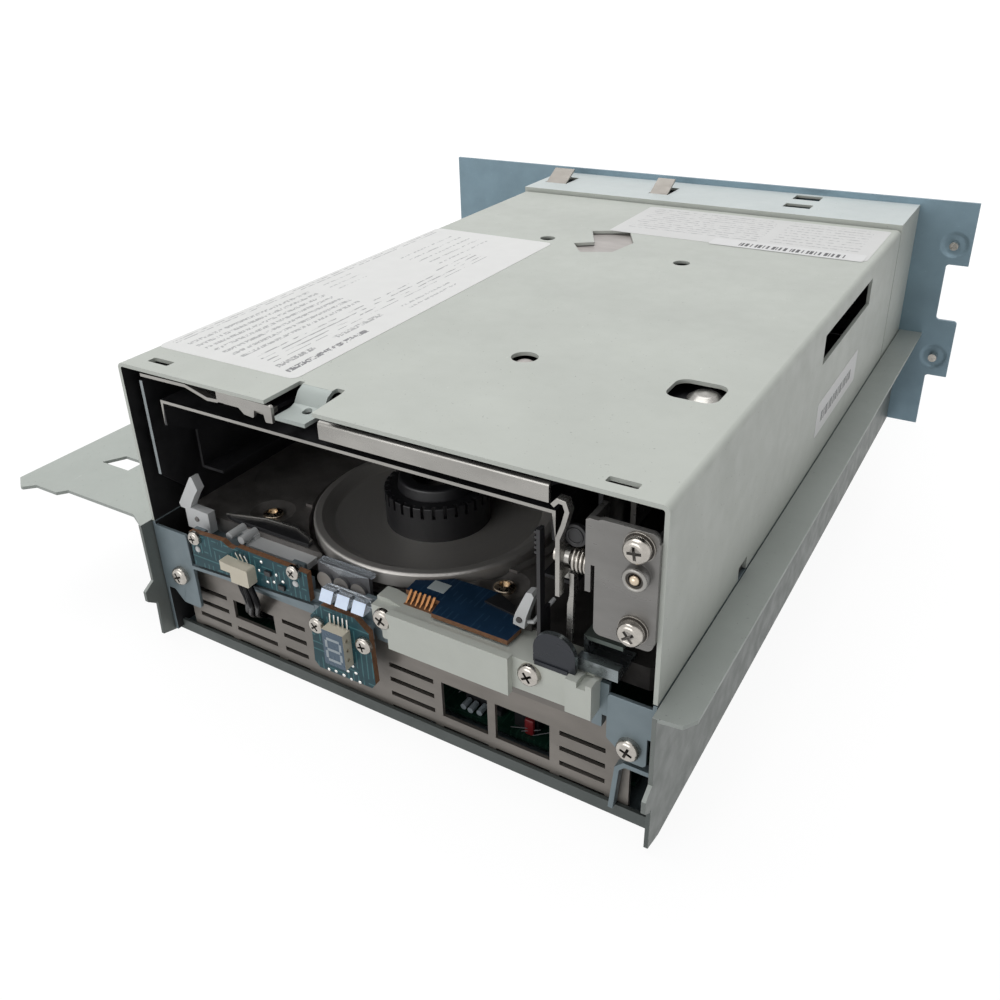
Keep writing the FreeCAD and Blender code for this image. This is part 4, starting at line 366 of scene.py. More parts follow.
def board_edge():
    edge = Finish("board_edge", (0.20, 0.095, 0.045), 0.6)
    edge.mottle(1.2, 0.25).bump(edge.noise(0.3, 2.0), 0.03, 0.7)
    return edge.material


def solder():
    tin = Finish("solder", (0.72, 0.72, 0.70), 0.25, 1.0)
    tin.mottle(0.8, 0.15).bump(tin.noise(0.5, 1.0), 0.02, 0.6)
    return tin.material


def gold_contact():
    gold = Finish("gold_contact", (0.42, 0.20, 0.085), 0.3, 1.0)
    gold.mottle(1.0, 0.15).bump(gold.noise(0.3, 1.0), 0.01, 0.4)
    return gold.material


def lead_black():
    """Soft black sleeve of the leads, with little shine."""
    rubber = Finish("lead_black", (0.006, 0.006, 0.007), 0.26)
    rubber.shader.inputs["Specular IOR Level"].default_value = 0.12
    rubber.mottle(2.0, 0.3).bump(rubber.noise(0.8, 1.0), 0.02, 0.4)
    return rubber.material


def label_paper(name, colour, along=1, print_blocks=()):
    """White label stock. Rows of plain grey dashes stand where its print would be.

    A block gives its span across and along the rows, the pitch and height of a row, the length of a
    dash and how dark it is.
    """
    paper = Finish(name, colour, 0.42)
    paper.mottle(6.0, 0.02)
    length, cross = paper.axis(along), paper.axis(1 - along)
    for across, run, pitch, height, dash_mm, darkness in print_blocks:
        rows = paper.stripe(cross, pitch, height, across[0])
        stretch = (1, dash_mm, 1) if along else (dash_mm, 1, 1)
        dashes = paper.span(paper.noise(0.8, 1.0, stretch), 0.47, 0.50)
        inside = paper.maths("MULTIPLY", paper.between(cross, *across), paper.between(length, *run))
        mask = paper.maths("MULTIPLY", paper.maths("MULTIPLY", rows, dashes), inside)
        paper.tint(paper.maths("MULTIPLY", mask, darkness), (0.15, 0.15, 0.16))
    paper.bump(paper.noise(1.0, 2.0), 0.004, 0.4)
    return paper.material


LEFT_PRINT = (((-71.0, -68.6), (16.0, 136.0), 1.3, 0.5, 3.0, 0.49),
              ((-66.5, -45.0), (17.0, 64.0), 3.1, 1.3, 0.9, 0.588),
              ((-66.5, -58.0), (70.0, 84.0), 3.1, 0.6, 1.2, 0.42),
              ((-62.0, -46.0), (104.0, 134.0), 3.6, 0.7, 1.6, 0.532),
              ((-44.0, -37.4), (18.0, 118.0), 2.1, 0.55, 5.0, 0.672),
              ((-35.6, -33.4), (16.0, 30.0), 2.4, 1.8, 0.8, 0.7),
              ((-35.6, -33.4), (38.0, 58.0), 2.4, 1.8, 0.8, 0.588),
              ((-31.4, -29.2), (15.0, 46.0), 2.4, 1.9, 1.1, 0.924),
              ((-34.0, -29.0), (66.0, 90.0), 2.6, 0.9, 0.8, 0.504))
REAR_PRINT = (((172.0, 199.0), (-12.0, 34.0), 2.6, 0.75, 2.0, 0.476),
              ((173.0, 199.0), (38.0, 66.0), 3.2, 0.8, 1.2, 0.476))


def ink():
    black = Finish("bar_ink", (0.035, 0.035, 0.04), 0.45)
    black.mottle(1.0, 0.2)
    return black.material


STEEL = cover_steel()
CARRIER = carrier_steel()
ZINC = plate_zinc()
NICKEL = nickel()
EAR_ZINC = plate_zinc("ear_zinc", (0.178, 0.224, 0.246), ((5.0, 58.2), (20.0, 36.0), (0.17, 0.157, 0.143)))
RAIL = nickel("rail_nickel", (0.27, 0.30, 0.31), 0.26, 0.85)
RAIL_TOP = nickel("rail_top", (0.13, 0.155, 0.14), 0.4, 0.4)
TAB = nickel("tab_metal", (0.020, 0.023, 0.030), 0.32, 0.35)
BRACKET = nickel("bracket_nickel", (0.205, 0.200, 0.192), 0.34, 0.6)
# Painted shade for cross recesses and for the hollow of the side bracket's stud
RECESS_SHADE = nickel("screw_recess_painted_shade", (0.06, 0.055, 0.05), 0.4, 0.7)
GRILLE = nickel("grille_nickel", (0.205, 0.187, 0.168), 0.38, 0.45)
BRIGHT_LIP = nickel("bright_lip", (0.35, 0.34, 0.32), 0.27, 0.8)
SCREW = bright_screw()
BRASS = brass_screw()
BLACK_SHEET = black_sheet()
DECK = deck_casting()
ROTOR = turned_steel()
CREAM = moulding("cream_moulding", (0.545, 0.565, 0.515))
IVORY = moulding("ivory_moulding", (0.64, 0.585, 0.47))
WHITE = moulding("white_moulding", (0.66, 0.67, 0.67))
BLACK = moulding("black_moulding", (0.018, 0.018, 0.02), 0.38)
GREY = moulding("grey_moulding", (0.10, 0.10, 0.105), 0.4)
CLEAR = clear_moulding()
# Painted light: the pipe ends glow faintly, though no lamp lights them
PIPE_GLOW = pipe_face_painted_glow()
TEAL = circuit_board("teal_board", (0.012, 0.057, 0.072), (0.10, 0.27, 0.29))
NAVY = circuit_board("navy_board", (0.012, 0.035, 0.075), (0.04, 0.09, 0.15))
GREEN = circuit_board("green_board", (0.007, 0.032, 0.020), (0.03, 0.09, 0.06))
EDGE = board_edge()
TIN = solder()
GOLD = gold_contact()
LEAD = lead_black()
# Painted shade: near black for the insides of the case, where shadow falls
INSIDE_SHADE = black_sheet("inside_painted_shade", (0.010, 0.010, 0.011), 0.6)
# Painted shade: a dark copy of the carrier steel for its walls, which lie in the shade of its flanges
WALL_SHADE = rolled_sheet("wall_painted_shade", (0.17, 0.185, 0.175), 0.5, 0.3)
# Painted light: a lighter copy of the carrier steel for the shelf's top, which faces the lamp
SHELF_LIGHT = rolled_sheet("shelf_painted_light", (0.42, 0.45, 0.42), 0.5, 0.2)
# Painted light: a lighter copy of the cover steel for the rear box's top faces
LIT_BOX_TOP = rolled_sheet("box_top_painted_light", (0.60, 0.65, 0.645), 0.5, 0.15)
TONGUE = rolled_sheet("tongue_steel", (0.40, 0.44, 0.42), 0.5, 0.2)
TONGUE_METAL = nickel("tongue_metal", (0.26, 0.24, 0.215), 0.4, 0.4)
# Painted shade: a dark copy of the carrier steel for the sill under the front of the drive
SILL_SHADE = rolled_sheet("sill_painted_shade", (0.085, 0.098, 0.094), 0.5, 0.3)
PAD = nickel("pad_nickel", (0.44, 0.41, 0.39), 0.45, 0.2)
RED = moulding("red_part", (0.15, 0.010, 0.012))
DISC = moulding("disc_grey", (0.24, 0.22, 0.20))
DIGIT_FACE = moulding("digit_face", (0.05, 0.095, 0.145), 0.3)
SEGMENT = moulding("digit_segment", (0.34, 0.39, 0.42), 0.4)
BARE = moulding("bare_sticker", (0.50, 0.56, 0.56), 0.45)
LEFT_PAPER = label_paper("left_label_paper", (0.80, 0.80, 0.785), 1, LEFT_PRINT)
REAR_PAPER = label_paper("rear_label_paper", (0.70, 0.70, 0.69), 0, REAR_PRINT)
PLAIN_PAPER = label_paper("plain_label_paper", (0.76, 0.76, 0.755))
INK = ink()

NODE_FINISH = {
    "carrier_tray": CARRIER, "rear_plate": ZINC, "rear_box": STEEL, "top_cover": STEEL,
    "lower_chassis": EAR_ZINC, "grille_plate": GRILLE, "main_board": GREEN, "board_components": BLACK,
    "board_carrier": EAR_ZINC,
    "sensor_board": TEAL, "sensor_connector": IVORY, "sensor_cable": LEAD, "display_board": TEAL,
    "seven_segment_block": IVORY, "light_pipes": CLEAR, "front_bracket": CREAM, "contact_board": NAVY,
    "deck_frame": DECK, "deck_screws": BRASS, "reel_motor_stator": NICKEL, "reel_rotor": ROTOR,
    "clutch_gear": BLACK, "take_up_stator": NICKEL, "take_up_reel": GREY, "tape_path_posts": NICKEL,
    "head_yoke": DECK, "head_carriage": NICKEL, "threader_arm": WHITE, "loader_cage": BLACK_SHEET,
    "upper_frame": BLACK_SHEET, "mouth_lip": BRIGHT_LIP, "loader_side_left": BLACK_SHEET,
    "loader_side_right": BLACK_SHEET, "cam_slider": NICKEL, "loader_gear": WHITE, "loader_pinion": WHITE,
    "loader_motor": NICKEL, "guide_bar": BLACK, "latch_lever": BRIGHT_LIP, "pivot_pin": SCREW,
    "coil_spring": SCREW, "side_bracket": BRACKET, "washer_screws": SCREW, "front_screws": SCREW,
    "front_rail": RAIL, "rail_tab": TAB, "wire_guide": WHITE, "cover_posts": BRIGHT_LIP,
    "interface_board": GREEN, "rear_ports": NICKEL, "fan_frame": BLACK, "fan_rotor": BLACK,
    "guide_roller_1": WHITE, "guide_roller_2": WHITE, "guide_roller_3": WHITE, "guide_roller_4": WHITE,
    "captive_screw_lower": SCREW, "captive_screw_upper": SCREW, "sense_lever_left": WHITE,
    "sense_lever_right": WHITE,
}

# Sheet and moulded nodes that stand as softened copies, with the rounding of their edges
SOFT_EDGES = {
    "top_cover": 0.18, "rear_box": 0.2, "carrier_tray": 0.18, "rear_plate": 0.2, "lower_chassis": 0.15,
    "grille_plate": 0.12, "side_bracket": 0.15, "front_bracket": 0.2, "mouth_lip": 0.12, "latch_lever": 0.12,
}


# ------------------------------------------------------------------ modelling
def deselect():
    if bpy.context.mode != "OBJECT":
        bpy.ops.object.mode_set(mode="OBJECT")
    bpy.ops.object.select_all(action="DESELECT")


def only(thing):
    deselect()
    thing.select_set(True)
    bpy.context.view_layer.objects.active = thing


def settle(thing, name, finish):
    """Gives a finished piece its name and material, and puts its place into its mesh."""
    only(thing)
    bpy.ops.object.transform_apply(location=True, rotation=True, scale=True)
    thing.name = name
    thing.data.name = name
    thing.data.materials.clear()
    thing.data.materials.append(finish)
    return thing


def soften(thing, width_mm):
    """Rounds the edges of a piece and smooths what is left."""
    only(thing)
    bevel = thing.modifiers.new("soft_edges", "BEVEL")
    bevel.width = width_mm * MM
    bevel.segments = 2
    bevel.limit_method = "ANGLE"
    bevel.angle_limit = math.radians(30)
    bpy.ops.object.modifier_apply(modifier=bevel.name)
    bpy.ops.object.shade_smooth_by_angle(angle=math.radians(35))
    even = thing.modifiers.new("even_faces", "WEIGHTED_NORMAL")
    even.keep_sharp = True
    bpy.ops.object.modifier_apply(modifier=even.name)
    return thing


def dress(node, width_mm):
    """Stands a copy of a sheet node, with its bends and edges rounded, in the node's place."""
    source = frame["nodes"][node]
    copy = bpy.data.objects.new(node + "_dressed", source.data.copy())
    bpy.context.collection.objects.link(copy)
    only(copy)
    bpy.ops.object.mode_set(mode="EDIT")
    bpy.ops.mesh.select_all(action="SELECT")
    bpy.ops.mesh.remove_doubles(threshold=0.000002)
    bpy.ops.mesh.dissolve_limited(angle_limit=math.radians(0.6))
    bpy.ops.object.mode_set(mode="OBJECT")
    copy.data.materials.clear()
    copy.data.materials.append(NODE_FINISH[node])
    soften(copy, width_mm)
    ride_with(copy, node)
    return copy


def paint(thing, finish, test):
    """Gives a second finish to the faces that pass a test of their centre, in millimetres, and direction."""
    slot = len(thing.data.materials)
    thing.data.materials.append(finish)
    for face in thing.data.polygons:
        if test(face.center / MM, face.normal):
            face.material_index = slot


def ride_with(thing, *nodes):
    """The piece stands for these nodes and moves with the first one's body."""
    record = frame["record"]
    body = next(name for name, members in record["behaviour"]["bodies"].items() if nodes[0] in members)
    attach(thing, body)
    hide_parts(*nodes)


def block(name, x, y, z, finish, edge=0.0):
    """A small solid between two limits on each axis, with its edges rounded."""
    deselect()
    spans = (x, y, z)
    bpy.ops.mesh.primitive_cube_add(size=1, location=[sum(span) / 2 * MM for span in spans])
    thing = bpy.context.object
    thing.scale = [(span[1] - span[0]) * MM for span in spans]
    settle(thing, name, finish)
    if edge:
        soften(thing, edge)
    return thing


def join(name, things):
    deselect()
    for thing in things:
        thing.select_set(True)
    bpy.context.view_layer.objects.active = things[0]
    bpy.ops.object.join()
    things[0].name = name
    things[0].data.name = name
    return things[0]


def fixed(thing):
    """The piece belongs to the chassis and moves with its body."""
    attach(thing, CHASSIS)
    return thing


def ball(name, where, radius, finish, segments=24, rings=12, scale=(1, 1, 1)):
    """A smooth ball about a place, stretched or flattened along the axes."""
    deselect()
    bpy.ops.mesh.primitive_uv_sphere_add(segments=segments, ring_count=rings, radius=radius * MM,
                                         location=[value * MM for value in where])
    bpy.context.object.scale = scale
    thing = settle(bpy.context.object, name, finish)
    bpy.ops.object.shade_smooth()
    return thing


def ring(name, where, radius, wire_radius, finish, segments):
    """A smooth round ring about a place, facing forward."""
    deselect()
    bpy.ops.mesh.primitive_torus_add(major_radius=radius * MM, minor_radius=wire_radius * MM,
                                     major_segments=segments, location=[value * MM for value in where],
                                     rotation=(math.pi / 2, 0, 0))
    thing = settle(bpy.context.object, name, finish)
    bpy.ops.object.shade_smooth()
    return thing


def upright(radius, low, high):
    """A plain cylinder about the Z axis, between two heights."""
    deselect()
    bpy.ops.mesh.primitive_cylinder_add(vertices=40, radius=radius * MM, depth=(high - low) * MM,
                                        location=(0, 0, (high + low) / 2 * MM))
    bpy.ops.object.transform_apply(location=True, rotation=True, scale=True)
    return bpy.context.object


def combine(thing, other, operation):
    """Adds another piece to this one, or cuts it out, and removes the other."""
    change = thing.modifiers.new("combine", "BOOLEAN")
    change.operation = operation
    change.object = other
    only(thing)
    bpy.ops.object.modifier_apply(modifier=change.name)
    bpy.data.objects.remove(other)
    return thing


def cross_recess(radius, depth):
    """Tapered cross that cuts the recess of a screw head, as a mesh standing on the origin."""
    arms = []
    for turn in (0, 90):
        deselect()
        bpy.ops.mesh.primitive_cube_add(size=1, location=(0, 0, -depth / 2 * MM))
        arm = bpy.context.object
        arm.scale = (radius * 2 * MM, radius * 0.42 * MM, depth * 1.1 * MM)
        bpy.ops.object.transform_apply(location=True, rotation=True, scale=True)
        bpy.ops.object.mode_set(mode="EDIT")
        bpy.ops.mesh.select_all(action="DESELECT")
        bpy.ops.object.mode_set(mode="OBJECT")
        for corner in arm.data.vertices:
            corner.select = corner.co.z < -depth * 0.5 * MM
        bpy.ops.object.mode_set(mode="EDIT")
        bpy.ops.transform.resize(value=(0.35, 0.6, 1))
        bpy.ops.object.mode_set(mode="OBJECT")
        arm.rotation_euler.z = math.radians(turn)
        bpy.ops.object.transform_apply(location=True, rotation=True, scale=True)
        arms.append(arm)
    return combine(arms[0], arms[1], "UNION")


def pan_head(radius, height, washer=0.0):
    """Domed cross-recess screw head that stands on the origin, or on its washers, and faces up."""
    head = upright(radius, washer, washer + height)
    crown = (height * 0.9 + washer) * MM
    for vertex in head.data.vertices:
        vertex.select = vertex.co.z > crown
    for edge in head.data.edges:
        edge.select = min(head.data.vertices[index].co.z for index in edge.vertices) > crown
    for face in head.data.polygons:
        face.select = face.center.z > crown
    bpy.ops.object.mode_set(mode="EDIT")
    bpy.ops.mesh.bevel(offset=height * 0.62 * MM, segments=5, affect="EDGES")
    bpy.ops.object.mode_set(mode="OBJECT")
    cutter = cross_recess(radius * 0.56, height * 0.75)
    cutter.location.z = (height + washer + 0.02) * MM
    combine(head, cutter, "DIFFERENCE")
    if washer:
        split = washer * 0.45
        plates = [soften(upright(plate_radius, low, high), 0.08)
                  for plate_radius, low, high in ((radius * 1.16, 0.0, split), (radius, split, washer))]
        head = join("washered_head", [head] + plates)
    only(head)
    bpy.ops.object.shade_smooth_by_angle(angle=math.radians(40))
    return head


def planted(source, name, where, facing, turn=0.0, size=1.0):
    """A copy of a piece modelled on the origin, set down at a place, facing along an axis."""
    copy = bpy.data.objects.new(name, source.data.copy())
    bpy.context.collection.objects.link(copy)
    twist = Matrix.Rotation(math.radians(turn), 4, "Z")
    facing_turn = UP.rotation_difference(facing).to_matrix().to_4x4()
    copy.data.transform(Matrix.Translation(Vector(where) * MM) @ facing_turn @ twist @ Matrix.Scale(size, 4))
    copy.data.update()
    return copy


# ------------------------------------------------------------------ screws
def paint_recess_shade(heads, where, size):
    """Painted shade: the walls and floor of a cross recess are painted darker than the head round it."""
    middle = Vector((where[0], 0, where[2]))
    floor = where[1] - RECESS_DEPTH * size

    def inside(centre, normal):
        return (Vector((centre.x, 0, centre.z)) - middle).length < RECESS_RADIUS * size and centre.y > floor

    paint(heads, RECESS_SHADE, inside)


def screw_heads(name, node, places, washer=0.0):
    """One piece of all the heads of a node's screws, each with its place, share of full size and turn."""
    head = pan_head(HEAD_RADIUS, HEAD_HEIGHT, washer)
    heads = [planted(head, name, where, FRONT, turn, size) for where, size, turn in places]
    bpy.data.objects.remove(head)
    whole = settle(join(name, heads), name, SCREW)
    ride_with(whole, node)
    # Painted shade in each cross recess
    for (x, y, z), size, turn in places:
        paint_recess_shade(whole, (x, y - washer, z), size)


def front_screws():
    """Cross-recess screws along the front, and the two washered ones of the side bracket."""
    rows = ((EAR_SCREWS, EAR_Y, 1.0, (25, 70)), (SENSOR_SCREWS, SENSOR_Y, 0.74, (12, 50)),
            (DISPLAY_SCREWS, DISPLAY_Y, 0.84, (40, 15)), (BRACKET_SCREWS, BRACKET_Y, 0.97, (62, 33)))
    places = [((x, y, z), size, turn) for screws, y, size, turns in rows
              for (x, z), turn in zip(screws, turns)]
    screw_heads("front_screw_heads", "front_screws", places)
    places = [((x, SIDE_BRACKET_Y, z), 1.0, turn) for (x, z), turn in zip(SIDE_BRACKET_SCREWS, (8, 38))]
    screw_heads("side_screw_heads", "washer_screws", places, WASHER)


# ------------------------------------------------------------------ labels
def paper(name, corner_a, corner_b, axis, level, finish, rounding=0.0, slot="cover_sheet"):
    """A label of even thickness on a plane across that axis, with rounded corners."""
    spans = list(zip(corner_a, corner_b))
    spans.insert(axis, (level, level + PAPER))
    sheet = block(name, *spans, finish)
    if rounding:
        bpy.ops.object.mode_set(mode="EDIT")
        bpy.ops.mesh.select_mode(type="EDGE")
        bpy.ops.mesh.select_all(action="DESELECT")
        bpy.ops.object.mode_set(mode="OBJECT")
        for edge in sheet.data.edges:
            ends = [sheet.data.vertices[index].co for index in edge.vertices]
            edge.select = abs(ends[0][axis] - ends[1][axis]) > PAPER * 0.5 * MM
        bpy.ops.object.mode_set(mode="EDIT")
        bpy.ops.mesh.bevel(offset=rounding * MM, segments=5, affect="EDGES")
        bpy.ops.mesh.select_mode(type="VERT")
        bpy.ops.object.mode_set(mode="OBJECT")
    return fixed(sheet)


def bars(name, along, start, others, finish, pattern):
    """A row of plain bars of uneven width along an axis, between the same limits on the other two axes."""
    pieces = []
    for width, gap in pattern:
        spans = list(others)
        spans.insert(along, (start, start + width))
        pieces.append(block("bar", *spans, finish))
        start += width + gap
    fixed(join(name, pieces))


def uneven(count, width, gap, steps):
    """Widths of bars and of the gaps between them, in a fixed uneven order."""
    return [(width + 0.3 * (index * steps[0] % 3), gap + 0.25 * (index * steps[1] % 4))
            for index in range(count)]


def labels():
    """The papers on the cover and its side, and the bar strips on two of them."""
    paper("left_label", (-72.2, 12.2), (-25.6, 141.0), 2, COVER_TOP, LEFT_PAPER, 2.2)
    paper("rear_label", (-15.8, 164.2), (70.6, 201.6), 2, COVER_TOP, REAR_PAPER, 1.2)
    strip = COVER_TOP + PAPER
    paper("bar_label", (20.6, 162.6), (69.6, 170.2), 2, strip, PLAIN_PAPER, 0.8)
    print_level = (strip + PAPER, strip + PAPER + PRINT_DEPTH)
    bars("bar_label_bars", 0, 30.2, [(164.2, 167.6), print_level], INK, uneven(25, 0.35, 0.35, (7, 5)))
    paper("side_label", (111.0, 47.2), (158.0, 57.6), 0, SIDE_OUT, PLAIN_PAPER, 0.8)
    print_level = (SIDE_OUT + PAPER, SIDE_OUT + PAPER + PRINT_DEPTH)
    bars("side_label_bars", 1, 116.0, [print_level, (50.4, 53.6)], GREY, uneven(26, 0.3, 0.4, (5, 7)))


# ------------------------------------------------------------------ small pieces
def leaning(name, x, foot, head, thickness, finish, edge=0.0):
    """A plate between two X limits that leans from its foot to its head, both given as (y, z)."""
    plate = block(name, x, (foot[0] - thickness, foot[0]), (foot[1], head[1]), finish)
    middle = (foot[1] + head[1]) / 2 * MM
    for corner in plate.data.vertices:
        if corner.co.z > middle:
            corner.co.y += (head[0] - foot[0]) * MM
    if edge:
        soften(plate, edge)
    return plate


def slab(name, outline, low, high, finish, edge=0.08):
    """A flat plate with an outline in X and Y, between two levels."""
    deselect()
    bpy.ops.mesh.primitive_circle_add(vertices=len(outline), radius=MM, fill_type="NGON")
    plate = bpy.context.object
    for corner, (x, y) in zip(plate.data.vertices, outline):
        corner.co = (x * MM, y * MM, low * MM)
    bpy.ops.object.mode_set(mode="EDIT")
    bpy.ops.mesh.select_all(action="SELECT")
    bpy.ops.mesh.extrude_region_move(TRANSFORM_OT_translate={"value": (0, 0, (high - low) * MM)})
    bpy.ops.mesh.select_all(action="SELECT")
    bpy.ops.mesh.normals_make_consistent(inside=False)
    bpy.ops.object.mode_set(mode="OBJECT")
    settle(plate, name, finish)
    return soften(plate, edge)


def drops(name, level, places, radius, finish):
    """Flattened drops of solder on a board that faces forward."""
    pieces = [ball("drop", (x, level - 0.05, z), radius, finish, 14, 8,
                   (1.0 + 0.15 * (index % 3), 0.6, 1.1 - 0.1 * (index % 2)))
              for index, (x, z) in enumerate(places)]
    return join(name, pieces)


def rods(name, ends, radius, finish):
    """Short round wires between pairs of points."""
    pieces = []
    for start, end in ends:
        run = (Vector(end) - Vector(start)) * MM
        deselect()
        bpy.ops.mesh.primitive_cylinder_add(vertices=12, radius=radius * MM, depth=run.length,
                                            location=(Vector(start) + Vector(end)) / 2 * MM)
        wire = bpy.context.object
        wire.rotation_euler = run.to_track_quat("Z", "Y").to_euler()
        pieces.append(settle(wire, "wire", finish))
    whole = join(name, pieces)
    only(whole)
    bpy.ops.object.shade_smooth_by_angle(angle=math.radians(40))
    return whole


def pipe_faces():
    """Pale slanted ends of the three light pipes, which carry a faint painted glow."""
    margin = 0.05
    faces = []
    for index in range(3):
        left = PIPE_X + index * PIPE_PITCH
        faces.append(leaning("pipe_face", (left + margin, left + PIPE_WIDTH - margin),
                             (PIPE_Y[0], PIPE_Z[0] + margin), (PIPE_Y[1], PIPE_Z[1] - margin), 0.1, PIPE_GLOW))
    fixed(join("pipe_faces", faces))


def digit():
    """Plain figure eight of seven bars on the block's face, and the leads above it."""
    left, right = DIGIT_X[0] + 1.1, DIGIT_X[1] - 1.0
    low, high = 19.7, 26.0
    middle = (low + high) / 2
    half = 0.375
    depth = (DIGIT_FRONT - 0.04, DIGIT_FRONT)
    spans = [((left + 0.2, right - 0.2), (level - half, level + half)) for level in (low, middle, high)]
    spans += [((side - half, side + half), (start + 0.5, end - 0.5)) for side in (left, right)
              for start, end in ((low, middle), (middle, high))]
    fixed(join("digit_bars", [block("bar", x, depth, z, SEGMENT) for x, z in spans]))
    leads = []
    for index in range(5):
        x = DIGIT_X[0] + 0.7 + index * 1.3
        leads.append(((x, DISPLAY_Y - 0.35, DIGIT_Z[1] - 0.3), (x, DISPLAY_Y - 0.15, DIGIT_Z[1] + 3.0)))
    fixed(rods("digit_leads", leads, PIN_RADIUS, TIN))


def board_details():
    """Solder, pads, chips and pins of the front boards, and what lies on the contact board, with a thin brown
    sheet of painted shadow under its springs.
    """
    display = ((-12.5, 13.0), (-10.2, 13.3), (-7.7, 13.1), (-5.4, 12.8), (-2.7, 13.0), (-3.7, 15.4),
               (-4.4, 17.3), (-6.2, 15.0))
    fixed(drops("display_solder", DISPLAY_Y, display, SOLDER_RADIUS, TIN))
    sensor = ((-28.0, 35.1), (-29.1, 32.6), (-26.0, 33.7), (-33.8, 34.6), (-32.6, 37.5), (-31.4, 31.9))
    fixed(drops("sensor_solder", SENSOR_Y, sensor, SOLDER_RADIUS, TIN))
    fixed(drops("sensor_pads", SENSOR_Y, ((-55.6, 34.0), (-21.7, 34.6)), 0.85, WHITE))
    chips = [block("chip", (x, x + 2.0), (SENSOR_Y - 0.7, SENSOR_Y), (z, z + 1.3), BLACK, 0.1)
             for x, z in ((-31.6, 34.2), (-27.4, 31.3))]
    fixed(join("sensor_chips", chips))
    pins = [((x, SENSOR_Y - 0.3, 36.0), (x - 0.3, SENSOR_Y - 0.8, 38.2)) for x in (-40.3, -38.8, -37.3)]
    fixed(rods("sensor_pins", pins, PIN_RADIUS, TIN))
    paper("bare_sticker", (12.4, 7.4), (17.0, 10.9), 2, CONTACT_TOP, BARE, slot="white_plastic")
    springs = [leaning("contact", (x, x + 0.62), (3.3, 39.0), (5.0, CONTACT_TOP + 0.45), 0.3, GOLD, 0.05)
               for x in CONTACTS]
    springs += [leaning("contact", (x + 0.1, x + 0.52), (2.5, 38.45), (3.4, 39.1), 0.3, GOLD, 0.05)
                for x in CONTACTS]
    fixed(join("contact_springs", springs))
    # Painted shadow: a thin brown sheet under the contact springs
    fixed(block("contact_shadow_sheet", (9.4, 17.6), (1.6, 5.2), (38.4, 38.46), EDGE))
    fixed(slab("contact_cover", ((27.0, 9.2), (35.8, 8.0), (34.0, 11.0), (28.4, 13.6)), CONTACT_TOP,
               CONTACT_TOP + 0.5, BLACK))


def under_cover():
    """What shows through the openings of the cover."""
    outline = [(x - 1.3, y + 2.9) for x, y in STEP_CUT]
    fixed(slab("step_pad", outline, FRAME_TOP, COVER_TOP - 1.3, PAD, 0.1))
    fixed(ball("post_button", (*POST, FRAME_TOP + 1.8), 2.5, PAD, 32, 16, (1, 1, 0.45)))


def deck_plate():
    """Dark plate on the deck behind the sensor board, with a bright strip along its back that is a painted
    highlight of its edge.
    """
    top = DECK_TOP + 1.2
    outline = ((-53.6, 9.0), (-49.9, 8.2), (-24.5, 8.2), (-24.7, 10.2), (-31.7, 12.8), (-42.0, 12.4))
    fixed(slab("deck_plate", outline, DECK_TOP, top, BLACK, 0.2))
    # Painted highlight: the bright strip stands for the glint along the plate's back edge
    rim = ((-53.6, 9.0), (-53.2, 8.6), (-42.0, 11.7), (-31.9, 12.1), (-25.2, 9.6), (-24.5, 8.6),
           (-24.7, 10.2), (-31.7, 12.8), (-42.0, 12.4))
    fixed(slab("deck_plate_highlight", rim, top, DECK_TOP + 1.7, BRIGHT_LIP))


def sense_tail():
    """Bent end of the right sense lever, which swings with it."""
    tail = rods("sense_tail", [((40.3, 5.6, 42.3), (41.7, 6.0, 42.4)),
                               ((41.5, 5.8, 42.3), (43.4, 12.2, 45.2))], 0.5, WHITE)
    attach(tail, "sense_right")


def round_details():
    """The rim and brass end of the side bracket's stud, and the black boss beside the latch lever."""
    rim = ring("stud_rim", (STUD[0], SIDE_BRACKET_Y - 1.8, STUD[1]), 2.1, 0.42, BRIGHT_LIP, 40)
    pin = ball("stud_pin", (STUD[0], SIDE_BRACKET_Y - 1.5, STUD[1]), 1.15, BRASS)
    fixed(join("stud_rim", [rim, pin]))
    x, z = LATCH_BOSS
    deselect()
    bpy.ops.mesh.primitive_cylinder_add(vertices=36, radius=2.6 * MM, depth=1.2 * MM,
                                        location=(x * MM, 2.6 * MM, z * MM), rotation=(math.pi / 2, 0, 0))
    boss = soften(settle(bpy.context.object, "latch_boss", BLACK), 0.3)
    fixed(join("latch_boss", [boss, ring("boss_ring", (x, 2.0, z), 1.7, 0.22, BLACK, 36)]))


def board_parts():
    """Cans, wires and a red block on the main board, seen through the grille's windows."""
    level = BOARD_TOP + 0.9
    cans = [((x, y, level), (x, y + 3.0, level)) for x, y in ((20.0, 8.6), (22.2, 8.3), (24.6, 8.6))]
    fixed(rods("board_cans", cans, 0.8, SEGMENT))
    wires = [((33.6 + 3 * index, 8.4, BOARD_TOP + 1.0), (38.0 + 3 * index, 8.8 + index, BOARD_TOP + 2.2))
             for index in range(3)]
    wires += [((18.2, 9.5, BOARD_TOP + 4.0 + index), (20.6, 13.0, BOARD_TOP + 6.0 + index))
              for index in range(3)]
    fixed(rods("board_wires", wires, 0.12, GREY))
    fixed(block("board_block", (37.0, 39.6), (8.8, 10.2), (BOARD_TOP, BOARD_TOP + 4.8), RED, 0.6))


